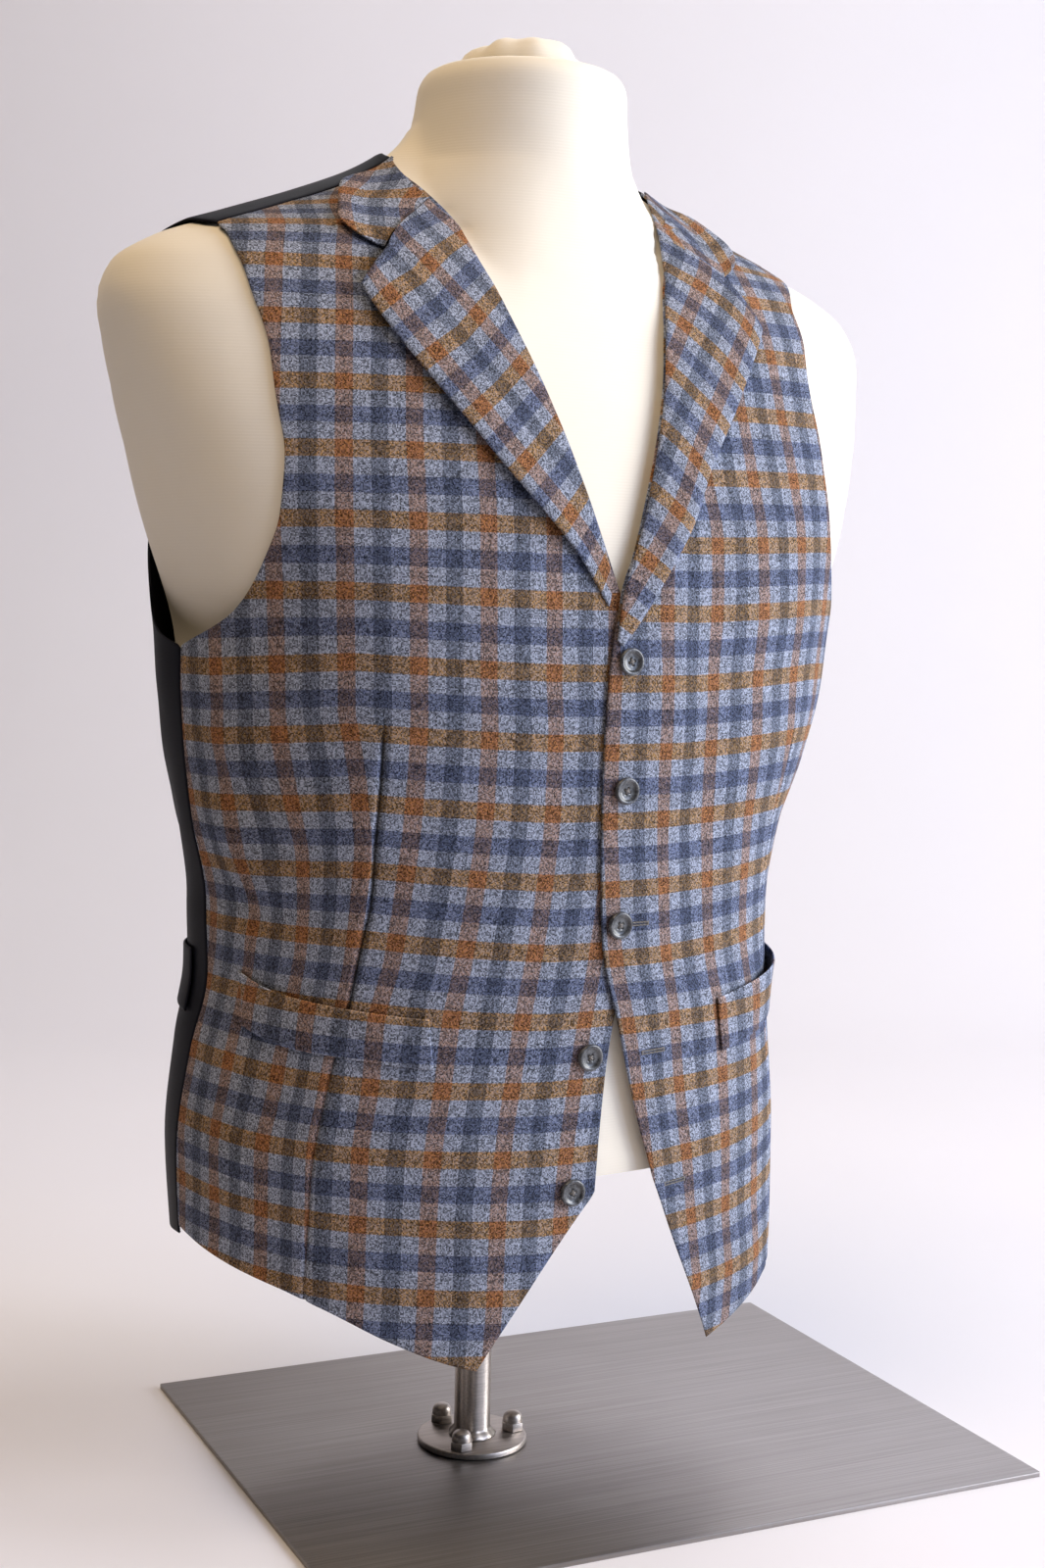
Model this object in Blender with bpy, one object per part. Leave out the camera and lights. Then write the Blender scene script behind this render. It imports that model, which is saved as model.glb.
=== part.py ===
"""A suit waistcoat worn by a limbless dress form on a steel stand.

Metres, +Z up. The front faces -Y and the wearer's right is at -X. The origin is
on the floor, on the axis of the stand's post. Heights in the tables are taken
above the top of the base plate. Angles go round the body from the centre front,
and each side has its own: 0 is the centre front, 90 the side, 180 the centre back.
"""

import math

import bmesh
import bpy
import numpy as np

# ------------------------------------------------------------------ stand
PLATE_WIDTH = 0.446
PLATE_DEPTH = 0.333
PLATE_THICK = 0.003
PLATE_CENTRE = (0.072, -0.013)
PLATE_TURN = math.radians(-5.6)
PLATE_EDGE = 0.0004
FLANGE_THICK = 0.004
FLANGE_SEGMENTS = 40
# Turned sections of the flange and of the post's foot: radius, height over its seat.
FLANGE_SECTION = ((0.0327, 0.0), (0.0333, 0.0006), (0.0333, 0.0030), (0.0323, 0.0040))
POST_FOOT = ((0.0142, 0.0), (0.0136, 0.0014), (0.0110, 0.0040))
POST_RADIUS = 0.011
POST_SEGMENTS = 24
NUT_CIRCLE = 0.0259
NUT_TURNS = (-133.5, -13.5, 106.5)
NUT_FLATS = 0.0125
NUT_HEIGHT = 0.0115
# Section of a domed nut: share of the hexagon, share of half the flats, height.
NUT_SECTION = (
    (1.0, 0.96, 0.0000), (1.0, 1.00, 0.0005), (1.0, 1.00, 0.0050),
    (0.0, 0.93, 0.0056), (0.0, 0.90, 0.0076), (0.0, 0.70, 0.0098), (0.0, 0.35, NUT_HEIGHT),
)

# ------------------------------------------------------------------ cloth
GAP = 0.0003
REST_GAP = 0.0005
CLOTH_WALL = 0.0016
LAPEL_WALL = 0.0018
WRAP_LIFT = 0.0022
# Between these angles the left front comes down off the overlap.
WRAP_FADE = (5.0, 14.0)
LAPEL_ROLL = 0.0022
# The share of a lapel's length over which its roll grows from flat.
LAPEL_ROLL_FROM = 0.3
# The share of a lapel's top, and of a collar's gorge, that is joined; the rest is the notch.
LAPEL_SEWN = 0.6
COLLAR_SEWN = 0.5
# Half the stretch of cloth, in degrees and metres, that its slope is taken over.
SLOPE_TURN = 0.6
SLOPE_RISE = 0.0012

# ------------------------------------------------------------------ body
BODY_CENTRE_Y = -0.012
FORM_BOTTOM = 0.198
FORM_RISE = 0.0022
NECK_BLEND = 8
NECK_FOOT = 0.690
NECK_FADE = 0.045
NECK_EASE = 0.0038
# At the front the chest runs softly up into the neck between these heights,
# less and less between these sines of half the angle.
NECK_RUN = (0.650, 0.772)
NECK_RUN_SIDE = (0.16, 0.34)
SLOPE_BELOW = 0.005
# How sharply the arm caps turn into their flat ends.
ARM_BLEND = 24
FORM_EDGE = 0.001

# The form's own section at each height: half width, and depth before and behind.
BODY = (
    # height, side, front, back
    (0.060, 0.168, 0.128, 0.116),
    (0.140, 0.170, 0.134, 0.117),
    (0.200, 0.171, 0.136, 0.118),
    (0.260, 0.165, 0.137, 0.113),
    (0.300, 0.161, 0.138, 0.110),
    (0.340, 0.160, 0.140, 0.109),
    (0.380, 0.167, 0.142, 0.109),
    (0.420, 0.184, 0.1435, 0.110),
    (0.460, 0.197, 0.145, 0.111),
    (0.500, 0.203, 0.144, 0.111),
    (0.540, 0.2200, 0.140, 0.109),
    (0.580, 0.2370, 0.1325, 0.1065),
    (0.620, 0.2480, 0.1215, 0.1035),
    (0.660, 0.2515, 0.106, 0.099),
    (0.685, 0.2395, 0.0915, 0.0935),
    (0.700, 0.2165, 0.081, 0.087),
    (0.715, 0.1760, 0.069, 0.079),
    (0.730, 0.1350, 0.057, 0.071),
    (0.745, 0.0990, 0.043, 0.063),
    (0.760, 0.0715, 0.030, 0.056),
    (0.775, 0.0500, 0.020, 0.045),
)
# How square the sections are: 2 is an ellipse.
SQUARENESS = (
    # height, exponent
    (0.060, 2.25),
    (0.500, 2.30),
    (0.580, 2.20),
    (0.660, 2.05),
    (0.775, 2.00),
)
# How far the worn cloth stands off the form.
EASE = (
    # height, right, left, front, back
    (0.060, 0.018, 0.014, 0.004, 0.006),
    (0.140, 0.021, 0.011, 0.005, 0.006),
    (0.200, 0.024, 0.008, 0.005, 0.007),
    (0.260, 0.025, 0.007, 0.005, 0.007),
    (0.300, 0.022, 0.006, 0.005, 0.006),
    (0.340, 0.024, 0.006, 0.004, 0.005),
    (0.380, 0.024, 0.006, 0.004, 0.004),
    (0.420, 0.014, 0.007, 0.0035, 0.004),
    (0.460, 0.007, 0.007, 0.003, 0.004),
    (0.500, 0.0045, 0.0075, 0.003, 0.004),
    (0.540, 0.003, 0.003, 0.003, 0.004),
    (0.620, 0.0025, 0.0025, 0.0025, 0.0035),
    (0.680, 0.0025, 0.0025, 0.0025, 0.0045),
    (0.775, 0.0025, 0.0025, 0.0025, 0.0030),
)
NECK = (
    # height, radius, centre
    (0.690, 0.0800, -0.0160),
    (0.745, 0.0700, -0.0165),
    (0.765, 0.0645, -0.0190),
    (0.785, 0.0610, -0.0220),
    (0.7985, 0.0595, -0.0235),
    (0.8055, 0.0560, -0.0240),
    (0.8085, 0.0510, -0.0240),
    (0.8095, 0.0440, -0.0240),
)
# Turned section of the soft cap on the neck: radius, height over the neck's top.
CAP_SECTION = (
    (0.0295, 0.0), (0.0300, 0.0030), (0.0290, 0.0068),
    (0.0245, 0.0102), (0.0160, 0.0122), (0.0040, 0.0125),
)
CAP_SEGMENTS = 32
# How far out the flat ends of the arm caps lie.
ARM_ENDS = (
    # height, distance
    (0.440, 0.2300),
    (0.460, 0.1950),
    (0.480, 0.1860),
    (0.520, 0.1970),
    (0.550, 0.2070),
    (0.590, 0.2180),
    (0.620, 0.2285),
    (0.660, 0.2450),
    (0.700, 0.2640),
)

# ------------------------------------------------------------------ cut of the cloth
# Every edge is one or more runs that meet at corners. A row is a place on the cloth:
# its angle round the body in degrees and its height.
FRONT_EDGE_RIGHT = (
    ((19.9, 0.097), (1.3, 0.190)),
    ((1.3, 0.190), (0.9, 0.227), (-0.1, 0.281), (-2.2, 0.335),
     (-2.6, 0.410), (-2.4, 0.470), (0.8, 0.520)),
    ((0.8, 0.520), (2.6, 0.548), (6.2, 0.601), (10.7, 0.653),
     (13.5, 0.683), (18.9, 0.710), (33.0, 0.733), (64.5, 0.7545)),
)
FRONT_EDGE_LEFT = (
    ((24.6, 0.090), (14.0, 0.152), (7.7, 0.195)),
    ((7.7, 0.195), (4.2, 0.230), (0.3, 0.287), (-2.0, 0.330),
     (-2.8, 0.379), (-2.9, 0.416), (-2.4, 0.473), (-0.8, 0.518)),
    ((-0.8, 0.518), (2.1, 0.562), (7.1, 0.627), (12.2, 0.685),
     (25.8, 0.723), (68.0, 0.7545)),
)
SIDE_SEAM_RIGHT = (
    (94.4, 0.159), (93.0, 0.220), (89.5, 0.310),
    (90.0, 0.400), (86.0, 0.484),
)
SIDE_SEAM_LEFT = (
    (95.0, 0.140), (93.0, 0.210), (90.0, 0.310),
    (90.0, 0.400), (86.0, 0.484),
)
ARMHOLE_FRONT_RIGHT = (
    (86.0, 0.484), (70.0, 0.500), (58.3, 0.526), (50.5, 0.555),
    (46.1, 0.595), (45.8, 0.635), (47.5, 0.665), (51.2, 0.685),
    (57.5, 0.698), (65.5, 0.7055),
)
ARMHOLE_FRONT_LEFT = (
    (86.0, 0.484), (75.0, 0.490), (62.0, 0.505), (51.5, 0.530),
    (44.5, 0.560), (39.5, 0.598), (37.5, 0.640), (40.5, 0.685),
    (62.0, 0.716),
)
ARMHOLE_BACK_RIGHT = (
    (86.0, 0.484), (100.0, 0.495), (115.0, 0.520), (127.0, 0.560),
    (131.0, 0.600), (133.0, 0.640), (131.0, 0.680), (112.0, 0.702),
    (90.0, 0.710), (65.5, 0.7055),
)
ARMHOLE_BACK_LEFT = (
    (86.0, 0.484), (100.0, 0.495), (115.0, 0.520), (127.0, 0.560),
    (132.0, 0.600), (135.0, 0.640), (132.0, 0.685), (112.0, 0.712),
    (88.0, 0.721), (62.0, 0.716),
)
HEM_FRONT_RIGHT = (
    (19.9, 0.097), (24.9, 0.102), (36.7, 0.117), (47.1, 0.131),
    (56.7, 0.141), (72.3, 0.150), (94.4, 0.159),
)
HEM_FRONT_LEFT = (
    (24.6, 0.090), (38.0, 0.101), (57.0, 0.114), (75.0, 0.127),
    (95.0, 0.140),
)
# Right round the back: past 180 the angles are the wearer's left side.
HEM_BACK = (
    (94.4, 0.154), (115.0, 0.148), (137.0, 0.147), (180.0, 0.147),
    (223.0, 0.144), (265.0, 0.140),
)
SHOULDER_RIGHT = (
    (64.5, 0.7545), (66.0, 0.746), (62.0, 0.733), (63.8, 0.719),
    (65.5, 0.7055),
)
SHOULDER_LEFT = (
    (68.0, 0.7545), (66.0, 0.745), (63.0, 0.735), (62.0, 0.725),
    (62.0, 0.716),
)
# Half the back's neckline, from a shoulder seam to the centre back.
NECKLINE_BACK = ((64.5, 0.7545), (90.0, 0.7585), (132.0, 0.757), (180.0, 0.751))

LAPEL_ROLL_RIGHT = (
    (1.6, 0.5240), (2.9, 0.548), (6.5, 0.601), (11.0, 0.653),
    (13.8, 0.683), (19.2, 0.710), (30.0, 0.727),
)
LAPEL_EDGE_RIGHT = (
    (2.3, 0.510), (6.0, 0.5350), (10.9, 0.5590), (15.5, 0.5820),
    (20.1, 0.6065), (24.6, 0.6290), (28.2, 0.6480), (31.9, 0.671),
)
LAPEL_TOP_RIGHT = (
    ((30.0, 0.727), (28.8, 0.693)),
    ((28.8, 0.693), (31.9, 0.671)),
)
LAPEL_ROLL_LEFT = (
    (-1.5, 0.492), (-0.6, 0.518), (2.3, 0.562), (7.2, 0.627),
    (12.3, 0.685), (24.2, 0.722),
)
LAPEL_EDGE_LEFT = (
    (-0.7, 0.489), (0.8, 0.501), (5.9, 0.537), (8.7, 0.555),
    (12.2, 0.584), (17.8, 0.617), (27.2, 0.668),
)
LAPEL_TOP_LEFT = (
    ((24.2, 0.722), (26.0, 0.697)),
    ((26.0, 0.697), (27.2, 0.668)),
)
COLLAR_GORGE_RIGHT = (
    ((30.3, 0.7281), (29.2, 0.6940)),
    ((29.2, 0.6940), (33.8, 0.6990), (39.4, 0.7060)),
)
COLLAR_NECK_RIGHT = ((30.3, 0.7281), (43.0, 0.7400), (63.5, 0.7538))
COLLAR_EDGE_RIGHT = ((39.4, 0.706), (48.5, 0.720), (60.5, 0.733))
COLLAR_GORGE_LEFT = (
    ((24.5, 0.7229), (26.3, 0.6978)),
    ((26.3, 0.6978), (34.1, 0.707)),
)
COLLAR_NECK_LEFT = ((24.5, 0.7229), (42.0, 0.7385), (67.0, 0.7538))
COLLAR_EDGE_LEFT = ((34.1, 0.707), (49.0, 0.722), (62.0, 0.737))

WELT_TOP_RIGHT = ((31.5, 0.292), (51.8, 0.298), (66.9, 0.304), (76.4, 0.311))
WELT_BOTTOM_RIGHT = ((29.4, 0.265), (47.5, 0.271), (62.5, 0.275), (73.5, 0.282))
WELT_TOP_LEFT = ((24.0, 0.291), (46.0, 0.300), (67.0, 0.309))
WELT_BOTTOM_LEFT = ((25.3, 0.260), (46.5, 0.267), (66.0, 0.277))
WELT_REST = 0.0009
WELT_GAPE_RIGHT = 0.0012
WELT_GAPE_LEFT = 0.0050
# A welt gapes most beyond its middle, towards the side seam.
WELT_GAPE_SKEW = 1.6

# ------------------------------------------------------------------ trimmings
BUTTON_RADIUS = 0.0075
BUTTON_SEGMENTS = 16
# Turned section of a button: share of the radius, height over its seat.
BUTTON_SECTION = (
    (0.84, 0.0000), (1.00, 0.0011), (0.99, 0.0024), (0.93, 0.0030), (0.76, 0.0029),
    (0.62, 0.0020),
)
BUTTONS = (
    # side (0 is on the overlap), angle, height
    (0, 0.0, 0.481),
    (0, 0.0, 0.412),
    (0, 0.0, 0.339),
    (-1, 3.0, 0.267),
    (-1, 4.9, 0.193),
)
STRAP_HEIGHT = 0.297
STRAP_WIDE = 0.036
STRAP_NARROW = 0.020
STRAP_START = 96.0
STRAP_TAPER_END = 165.0
STRAP_REST = 0.0009
STRAP_RIGHT_END = 173.5
STRAP_TAIL_END = 167.0
STRAP_TAIL_LIFT = 0.0032
# Between these angles the left strap rises to pass over the right one's end.
STRAP_TAIL_RISE = (168.0, 174.0)
BUCKLE_LENGTH = 0.018
BUCKLE_HEIGHT = 0.028
BUCKLE_BAR = 0.003
BUCKLE_THICK = 0.0018
BUCKLE_LIFT = 0.0009


def clear_scene():
    for thing in list(bpy.data.objects):
        bpy.data.objects.remove(thing)


def finish(name, colour, roughness, metallic=0.0):
    """A material with plain Principled values."""
    made = bpy.data.materials.new(name)
    made.use_nodes = True
    shader = made.node_tree.nodes["Principled BSDF"]
    shader.inputs["Base Color"].default_value = (*colour, 1.0)
    shader.inputs["Roughness"].default_value = roughness
    shader.inputs["Metallic"].default_value = metallic
    return made


# ------------------------------------------------------------------ curves
def tangents(places, values):
    """Slopes for a curve that doesn't overshoot the rows it passes through."""
    steps = np.diff(places)
    slopes = np.diff(values) / steps
    found = np.zeros(len(values))
    found[0] = slopes[0]
    found[-1] = slopes[-1]
    for k in range(1, len(values) - 1):
        if slopes[k - 1] * slopes[k] > 0:
            before = 2 * steps[k] + steps[k - 1]
            after = steps[k] + 2 * steps[k - 1]
            found[k] = (before + after) / (before / slopes[k - 1] + after / slopes[k])
    return found


class Column:
    """One column of a table, read smoothly between its rows."""

    def __init__(self, rows, column):
        self.places = np.array([row[0] for row in rows])
        self.values = np.array([row[column] for row in rows])
        self.slopes = tangents(self.places, self.values)

    def __call__(self, place):
        place = min(max(place, self.places[0]), self.places[-1])
        k = int(np.searchsorted(self.places, place, side="right")) - 1
        k = min(k, len(self.places) - 2)
        step = self.places[k + 1] - self.places[k]
        t = (place - self.places[k]) / step
        rise = self.values[k + 1] - self.values[k]
        start = self.slopes[k] * step
        end = self.slopes[k + 1] * step
        bend = start + end - 2 * rise
        return self.values[k] + t * (start + t * (3 * rise - 2 * start - end + t * bend))


def smooth_step(low, high, value):
    t = min(max((value - low) / (high - low), 0.0), 1.0)
    return t * t * (3 - 2 * t)


BODY_SIDE = Column(BODY, 1)
BODY_FRONT = Column(BODY, 2)
BODY_BACK = Column(BODY, 3)
SQUARE = Column(SQUARENESS, 1)
EASE_RIGHT = Column(EASE, 1)
EASE_LEFT = Column(EASE, 2)
EASE_FRONT = Column(EASE, 3)
EASE_BACK = Column(EASE, 4)
NECK_RADIUS = Column(NECK, 1)
NECK_CENTRE = Column(NECK, 2)
ARM_END = Column(ARM_ENDS, 1)


# ------------------------------------------------------------------ cloth surface
def neck_reach(angle, height):
    """From the body's centre line to the neck's face, or nothing below the neck's foot."""
    offset = NECK_CENTRE(height) - BODY_CENTRE_Y
    sideways = offset * math.sin(angle)
    reach = -offset * math.cos(angle) + math.sqrt(NECK_RADIUS(height) ** 2 - sideways**2)
    return reach * smooth_step(NECK_FOOT, NECK_FOOT + NECK_FADE, height)


def with_neck(radius, neck):
    return (radius**NECK_BLEND + neck**NECK_BLEND) ** (1 / NECK_BLEND)


def cloth_point(angle, height):
    """A point of the cloth's face. The angle runs from -180 to 180, the wearer's left positive."""
    body = height - FORM_RISE
    power = 2 / SQUARE(height)
    sine = math.sin(math.radians(angle))
    cosine = math.cos(math.radians(angle))
    ease = EASE_RIGHT(height) if sine < 0 else EASE_LEFT(height)
    across = (BODY_SIDE(body) + ease) * math.copysign(abs(sine) ** power, sine)
    if cosine > 0:
        depth = BODY_FRONT(body) + EASE_FRONT(height) + BODY_CENTRE_Y
        along = BODY_CENTRE_Y - depth * cosine**power
    else:
        depth = BODY_BACK(body) + EASE_BACK(height) - BODY_CENTRE_Y
        along = BODY_CENTRE_Y + depth * abs(cosine) ** power
    if body > NECK_FOOT:
        radius = math.hypot(across, along - BODY_CENTRE_Y)
        neck = neck_reach(math.atan2(across, BODY_CENTRE_Y - along), body) + NECK_EASE
        widened = with_neck(radius, neck) / radius
        across *= widened
        along = BODY_CENTRE_Y + (along - BODY_CENTRE_Y) * widened
    return np.array((across, along, height + PLATE_THICK))


def cloth_normal(angle, height):
    """The way the cloth's face looks at a place on it."""
    across = cloth_point(angle + SLOPE_TURN, height) - cloth_point(angle - SLOPE_TURN, height)
    upward = cloth_point(angle, height + SLOPE_RISE) - cloth_point(angle, height - SLOPE_RISE)
    normal = np.cross(across, upward)
    return normal / np.linalg.norm(normal)


def lifted(angle, height, lift):
    return cloth_point(angle, height) + cloth_normal(angle, height) * lift


def wrap_lift(angle):
    """The left front stands off where it laps over the right front."""
    return WRAP_LIFT * (1 - smooth_step(*WRAP_FADE, angle))


def length_between(first, second):
    start = cloth_point(-first[0], first[1])
    end = cloth_point(-second[0], second[1])
    return float(np.linalg.norm(end - start))


def edge(*runs, ends=(1.0,)):
    """The edge as a function of the share of its length: angle and height.

    Ends tells at which share each run ends.
    """
    pieces = []
    start = 0.0
    for run, end in zip(runs, ends):
        places = [0.0]
        for before, after in zip(run, run[1:]):
            places.append(places[-1] + length_between(before, after))
        shares = [start + (end - start) * place / places[-1] for place in places]
        rows = [(share, *row) for share, row in zip(shares, run)]
        pieces.append((end, Column(rows, 1), Column(rows, 2)))
        start = end

    def at(share):
        for end, angle, height in pieces:
            if share <= end:
                break
        return np.array((angle(share), height(share)))

    return at


# ------------------------------------------------------------------ meshes
SHARP_BEND = math.radians(35)


def add_object(name, mesh_edit, material):
    mesh = bpy.data.meshes.new(name)
    bmesh.ops.recalc_face_normals(mesh_edit, faces=mesh_edit.faces)
    mesh_edit.to_mesh(mesh)
    mesh_edit.free()
    mesh.materials.append(material)
    mesh.shade_smooth()
    mesh.set_sharp_from_angle(angle=SHARP_BEND)
    made = bpy.data.objects.new(name, mesh)
    bpy.context.collection.objects.link(made)
    return made


def wall(name, outer, inner, material):
    """A closed sheet between two grids of points of the same size."""
    edit = bmesh.new()
    rows = len(outer)
    columns = len(outer[0])
    face = [[edit.verts.new(point) for point in row] for row in outer]
    back = [[edit.verts.new(point) for point in row] for row in inner]
    for r in range(rows - 1):
        for c in range(columns - 1):
            edit.faces.new((face[r][c], face[r][c + 1], face[r + 1][c + 1], face[r + 1][c]))
            edit.faces.new((back[r][c], back[r + 1][c], back[r + 1][c + 1], back[r][c + 1]))
    rim = [(0, c) for c in range(columns)]
    rim += [(r, columns - 1) for r in range(1, rows)]
    rim += [(rows - 1, c) for c in range(columns - 2, -1, -1)]
    rim += [(r, 0) for r in range(rows - 2, 0, -1)]
    for (r, c), (next_r, next_c) in zip(rim, rim[1:] + rim[:1]):
        edit.faces.new((face[r][c], back[r][c], back[next_r][next_c], face[next_r][next_c]))
    return add_object(name, edit, material)


def loft(name, rings, material):
    """A closed solid through rings of points, with flat ends."""
    edit = bmesh.new()
    loops = [[edit.verts.new(point) for point in ring] for ring in rings]
    count = len(loops[0])
    for lower, upper in zip(loops, loops[1:]):
        for k in range(count):
            edit.faces.new((lower[k], lower[(k + 1) % count], upper[(k + 1) % count], upper[k]))
    edit.faces.new(loops[0][::-1])
    edit.faces.new(loops[-1])
    return add_object(name, edit, material)


def spaced(*stretches):
    """Row shares: each stretch is where it ends and its count of rows."""
    shares = [0.0]
    for end, count in stretches:
        start = shares[-1]
        shares += [start + (end - start) * k / count for k in range(1, count + 1)]
    return shares


def patch(near, far, bottom, top, columns, shares, hold=3):
    """Chart places of a four-sided piece: near and far edges run up, bottom and top across.

    The bottom's and top's own shapes fade into the piece with the power hold.
    """
    places = []
    for v in shares:
        row = []
        for c in range(columns + 1):
            u = c / columns
            place = (1 - u) * near(v) + u * far(v)
            place = place + v**hold * (top(u) - (1 - u) * near(1) - u * far(1))
            place = place + (1 - v) ** hold * (bottom(u) - (1 - u) * near(0) - u * far(0))
            row.append(place)
        places.append(row)
    return places


def sheet(name, places, side, lift, thick, material):
    """A wall over chart places. Lift is a function of the place and its shares."""
    rows = len(places) - 1
    columns = len(places[0]) - 1
    outer = []
    inner = []
    for r, row in enumerate(places):
        outer_row = []
        inner_row = []
        for c, (angle, height) in enumerate(row):
            raised = lift(angle, height, c / columns, r / rows)
            outer_row.append(lifted(side * angle, height, raised + thick))
            inner_row.append(lifted(side * angle, height, raised))
        outer.append(outer_row)
        inner.append(inner_row)
    return wall(name, outer, inner, material)


# ------------------------------------------------------------------ garment
SEAM_TURN = 0.11
SHOULDER_TURN = 0.45
FRONT_COLUMNS = 18
FRONT_ROWS = spaced((1.0, 32))
LAPEL_COLUMNS = 5
LAPEL_ROWS = spaced((1.0, 22))
COLLAR_COLUMNS = 6
COLLAR_ROWS = spaced((1.0, 8))
WELT_COLUMNS = 10
WELT_ROWS = spaced((1.0, 3))
STRAP_RIGHT_COLUMNS = 16
STRAP_LEFT_COLUMNS = 22
BACK_COLUMNS = 28
# The back's rows crowd where it turns from the blades onto the shoulders.
BACK_ROWS = spaced((0.5, 16), (0.74, 6), (0.90, 9), (1.0, 5))
CORNER_SHARE = 4 / 32
SIDE_SHARE = 0.5
SHOULDER_SHARE = 6 / 28


def shifted(rows, turn):
    return tuple((angle + turn, height) for angle, height in rows)


def far_side(rows):
    """The wearer's left side's angles, counted on round the back from the right."""
    return tuple((360 - angle, height) for angle, height in rows)


def build_fronts(check):
    cuts = (
        ("front_right", -1, FRONT_EDGE_RIGHT, SIDE_SEAM_RIGHT, ARMHOLE_FRONT_RIGHT,
         HEM_FRONT_RIGHT, SHOULDER_RIGHT),
        ("front_left", 1, FRONT_EDGE_LEFT, SIDE_SEAM_LEFT, ARMHOLE_FRONT_LEFT,
         HEM_FRONT_LEFT, SHOULDER_LEFT),
    )
    for name, side, front, seam, armhole, hem, shoulder in cuts:
        places = patch(
            edge(*front, ends=(CORNER_SHARE, SIDE_SHARE, 1.0)),
            edge(shifted(seam, -SEAM_TURN), shifted(armhole, -SEAM_TURN), ends=(SIDE_SHARE, 1.0)),
            edge(hem[:-1] + shifted(hem[-1:], -SEAM_TURN)),
            edge(shoulder),
            FRONT_COLUMNS,
            FRONT_ROWS,
        )

        def lift(angle, height, across, up, side=side):
            over = wrap_lift(angle) if side > 0 else 0.0
            return over - CLOTH_WALL

        sheet(name, places, side, lift, CLOTH_WALL, check)


def build_back(satin):
    neck_left = (SHOULDER_LEFT[0],) + NECKLINE_BACK[1:]
    edges = []
    for seam, armhole in (
        (SIDE_SEAM_RIGHT, ARMHOLE_BACK_RIGHT), (SIDE_SEAM_LEFT, ARMHOLE_BACK_LEFT)
    ):
        edges.append((shifted(seam, SEAM_TURN), shifted(armhole, SEAM_TURN)))
    top = edge(
        shifted(SHOULDER_RIGHT, SHOULDER_TURN)[::-1],
        shifted(NECKLINE_BACK[:-1], SHOULDER_TURN) + NECKLINE_BACK[-1:],
        far_side(shifted(neck_left[:-1], SHOULDER_TURN) + neck_left[-1:])[::-1],
        far_side(shifted(SHOULDER_LEFT, SHOULDER_TURN)),
        ends=(SHOULDER_SHARE, 0.5, 1 - SHOULDER_SHARE, 1.0),
    )
    places = patch(
        edge(*edges[0], ends=(SIDE_SHARE, 1.0)),
        edge(*[far_side(run) for run in edges[1]], ends=(SIDE_SHARE, 1.0)),
        edge(shifted(HEM_BACK[:1], SEAM_TURN) + HEM_BACK[1:-1] + shifted(HEM_BACK[-1:], -SEAM_TURN)),
        top,
        BACK_COLUMNS,
        BACK_ROWS,
        hold=4,
    )
    sheet("back", places, -1, lambda *place: -CLOTH_WALL, CLOTH_WALL, satin)


def build_lapels(check):
    cuts = (
        ("lapel_right", -1, LAPEL_ROLL_RIGHT, LAPEL_EDGE_RIGHT, LAPEL_TOP_RIGHT),
        ("lapel_left", 1, LAPEL_ROLL_LEFT, LAPEL_EDGE_LEFT, LAPEL_TOP_LEFT),
    )
    for name, side, roll, outer, top in cuts:
        places = patch(
            edge(roll),
            edge(outer),
            edge((roll[0], outer[0])),
            edge(*top, ends=(LAPEL_SEWN, 1.0)),
            LAPEL_COLUMNS,
            LAPEL_ROWS,
        )

        def lift(angle, height, across, up, side=side):
            under = wrap_lift(angle) if side > 0 else 0.0
            bulge = LAPEL_ROLL * math.sin(math.pi * across) * smooth_step(0.0, LAPEL_ROLL_FROM, up)
            return under + REST_GAP + bulge

        sheet(name, places, side, lift, LAPEL_WALL, check)


def build_collars(check):
    cuts = (
        ("collar_right", -1, COLLAR_NECK_RIGHT, COLLAR_EDGE_RIGHT, COLLAR_GORGE_RIGHT),
        ("collar_left", 1, COLLAR_NECK_LEFT, COLLAR_EDGE_LEFT, COLLAR_GORGE_LEFT),
    )
    for name, side, neck, outer, gorge in cuts:
        places = patch(
            edge(neck),
            edge(outer),
            edge(*gorge, ends=(COLLAR_SEWN, 1.0)),
            edge((neck[-1], outer[-1])),
            COLLAR_COLUMNS,
            COLLAR_ROWS,
            hold=2,
        )
        sheet(name, places, side, lambda *place: REST_GAP, LAPEL_WALL, check)


def build_welts(check):
    cuts = (
        ("welt_right", -1, WELT_BOTTOM_RIGHT, WELT_TOP_RIGHT, WELT_GAPE_RIGHT),
        ("welt_left", 1, WELT_BOTTOM_LEFT, WELT_TOP_LEFT, WELT_GAPE_LEFT),
    )
    for name, side, bottom, top, gape in cuts:
        near = edge((bottom[0], top[0]))
        far = edge((bottom[-1], top[-1]))
        places = patch(near, far, edge(bottom), edge(top), WELT_COLUMNS, WELT_ROWS, hold=1)

        def lift(angle, height, across, up, gape=gape):
            return WELT_REST + gape * up * math.sin(math.pi * across**WELT_GAPE_SKEW)

        sheet(name, places, side, lift, CLOTH_WALL, check)


def frame_at(angle, height, lift):
    """Seat of a flat trim: its centre and the directions across, up and out."""
    out = cloth_normal(angle, height)
    across = np.cross((0, 0, 1), out)
    across /= np.linalg.norm(across)
    up = np.cross(out, across)
    return lifted(angle, height, lift), across, up, out


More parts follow.
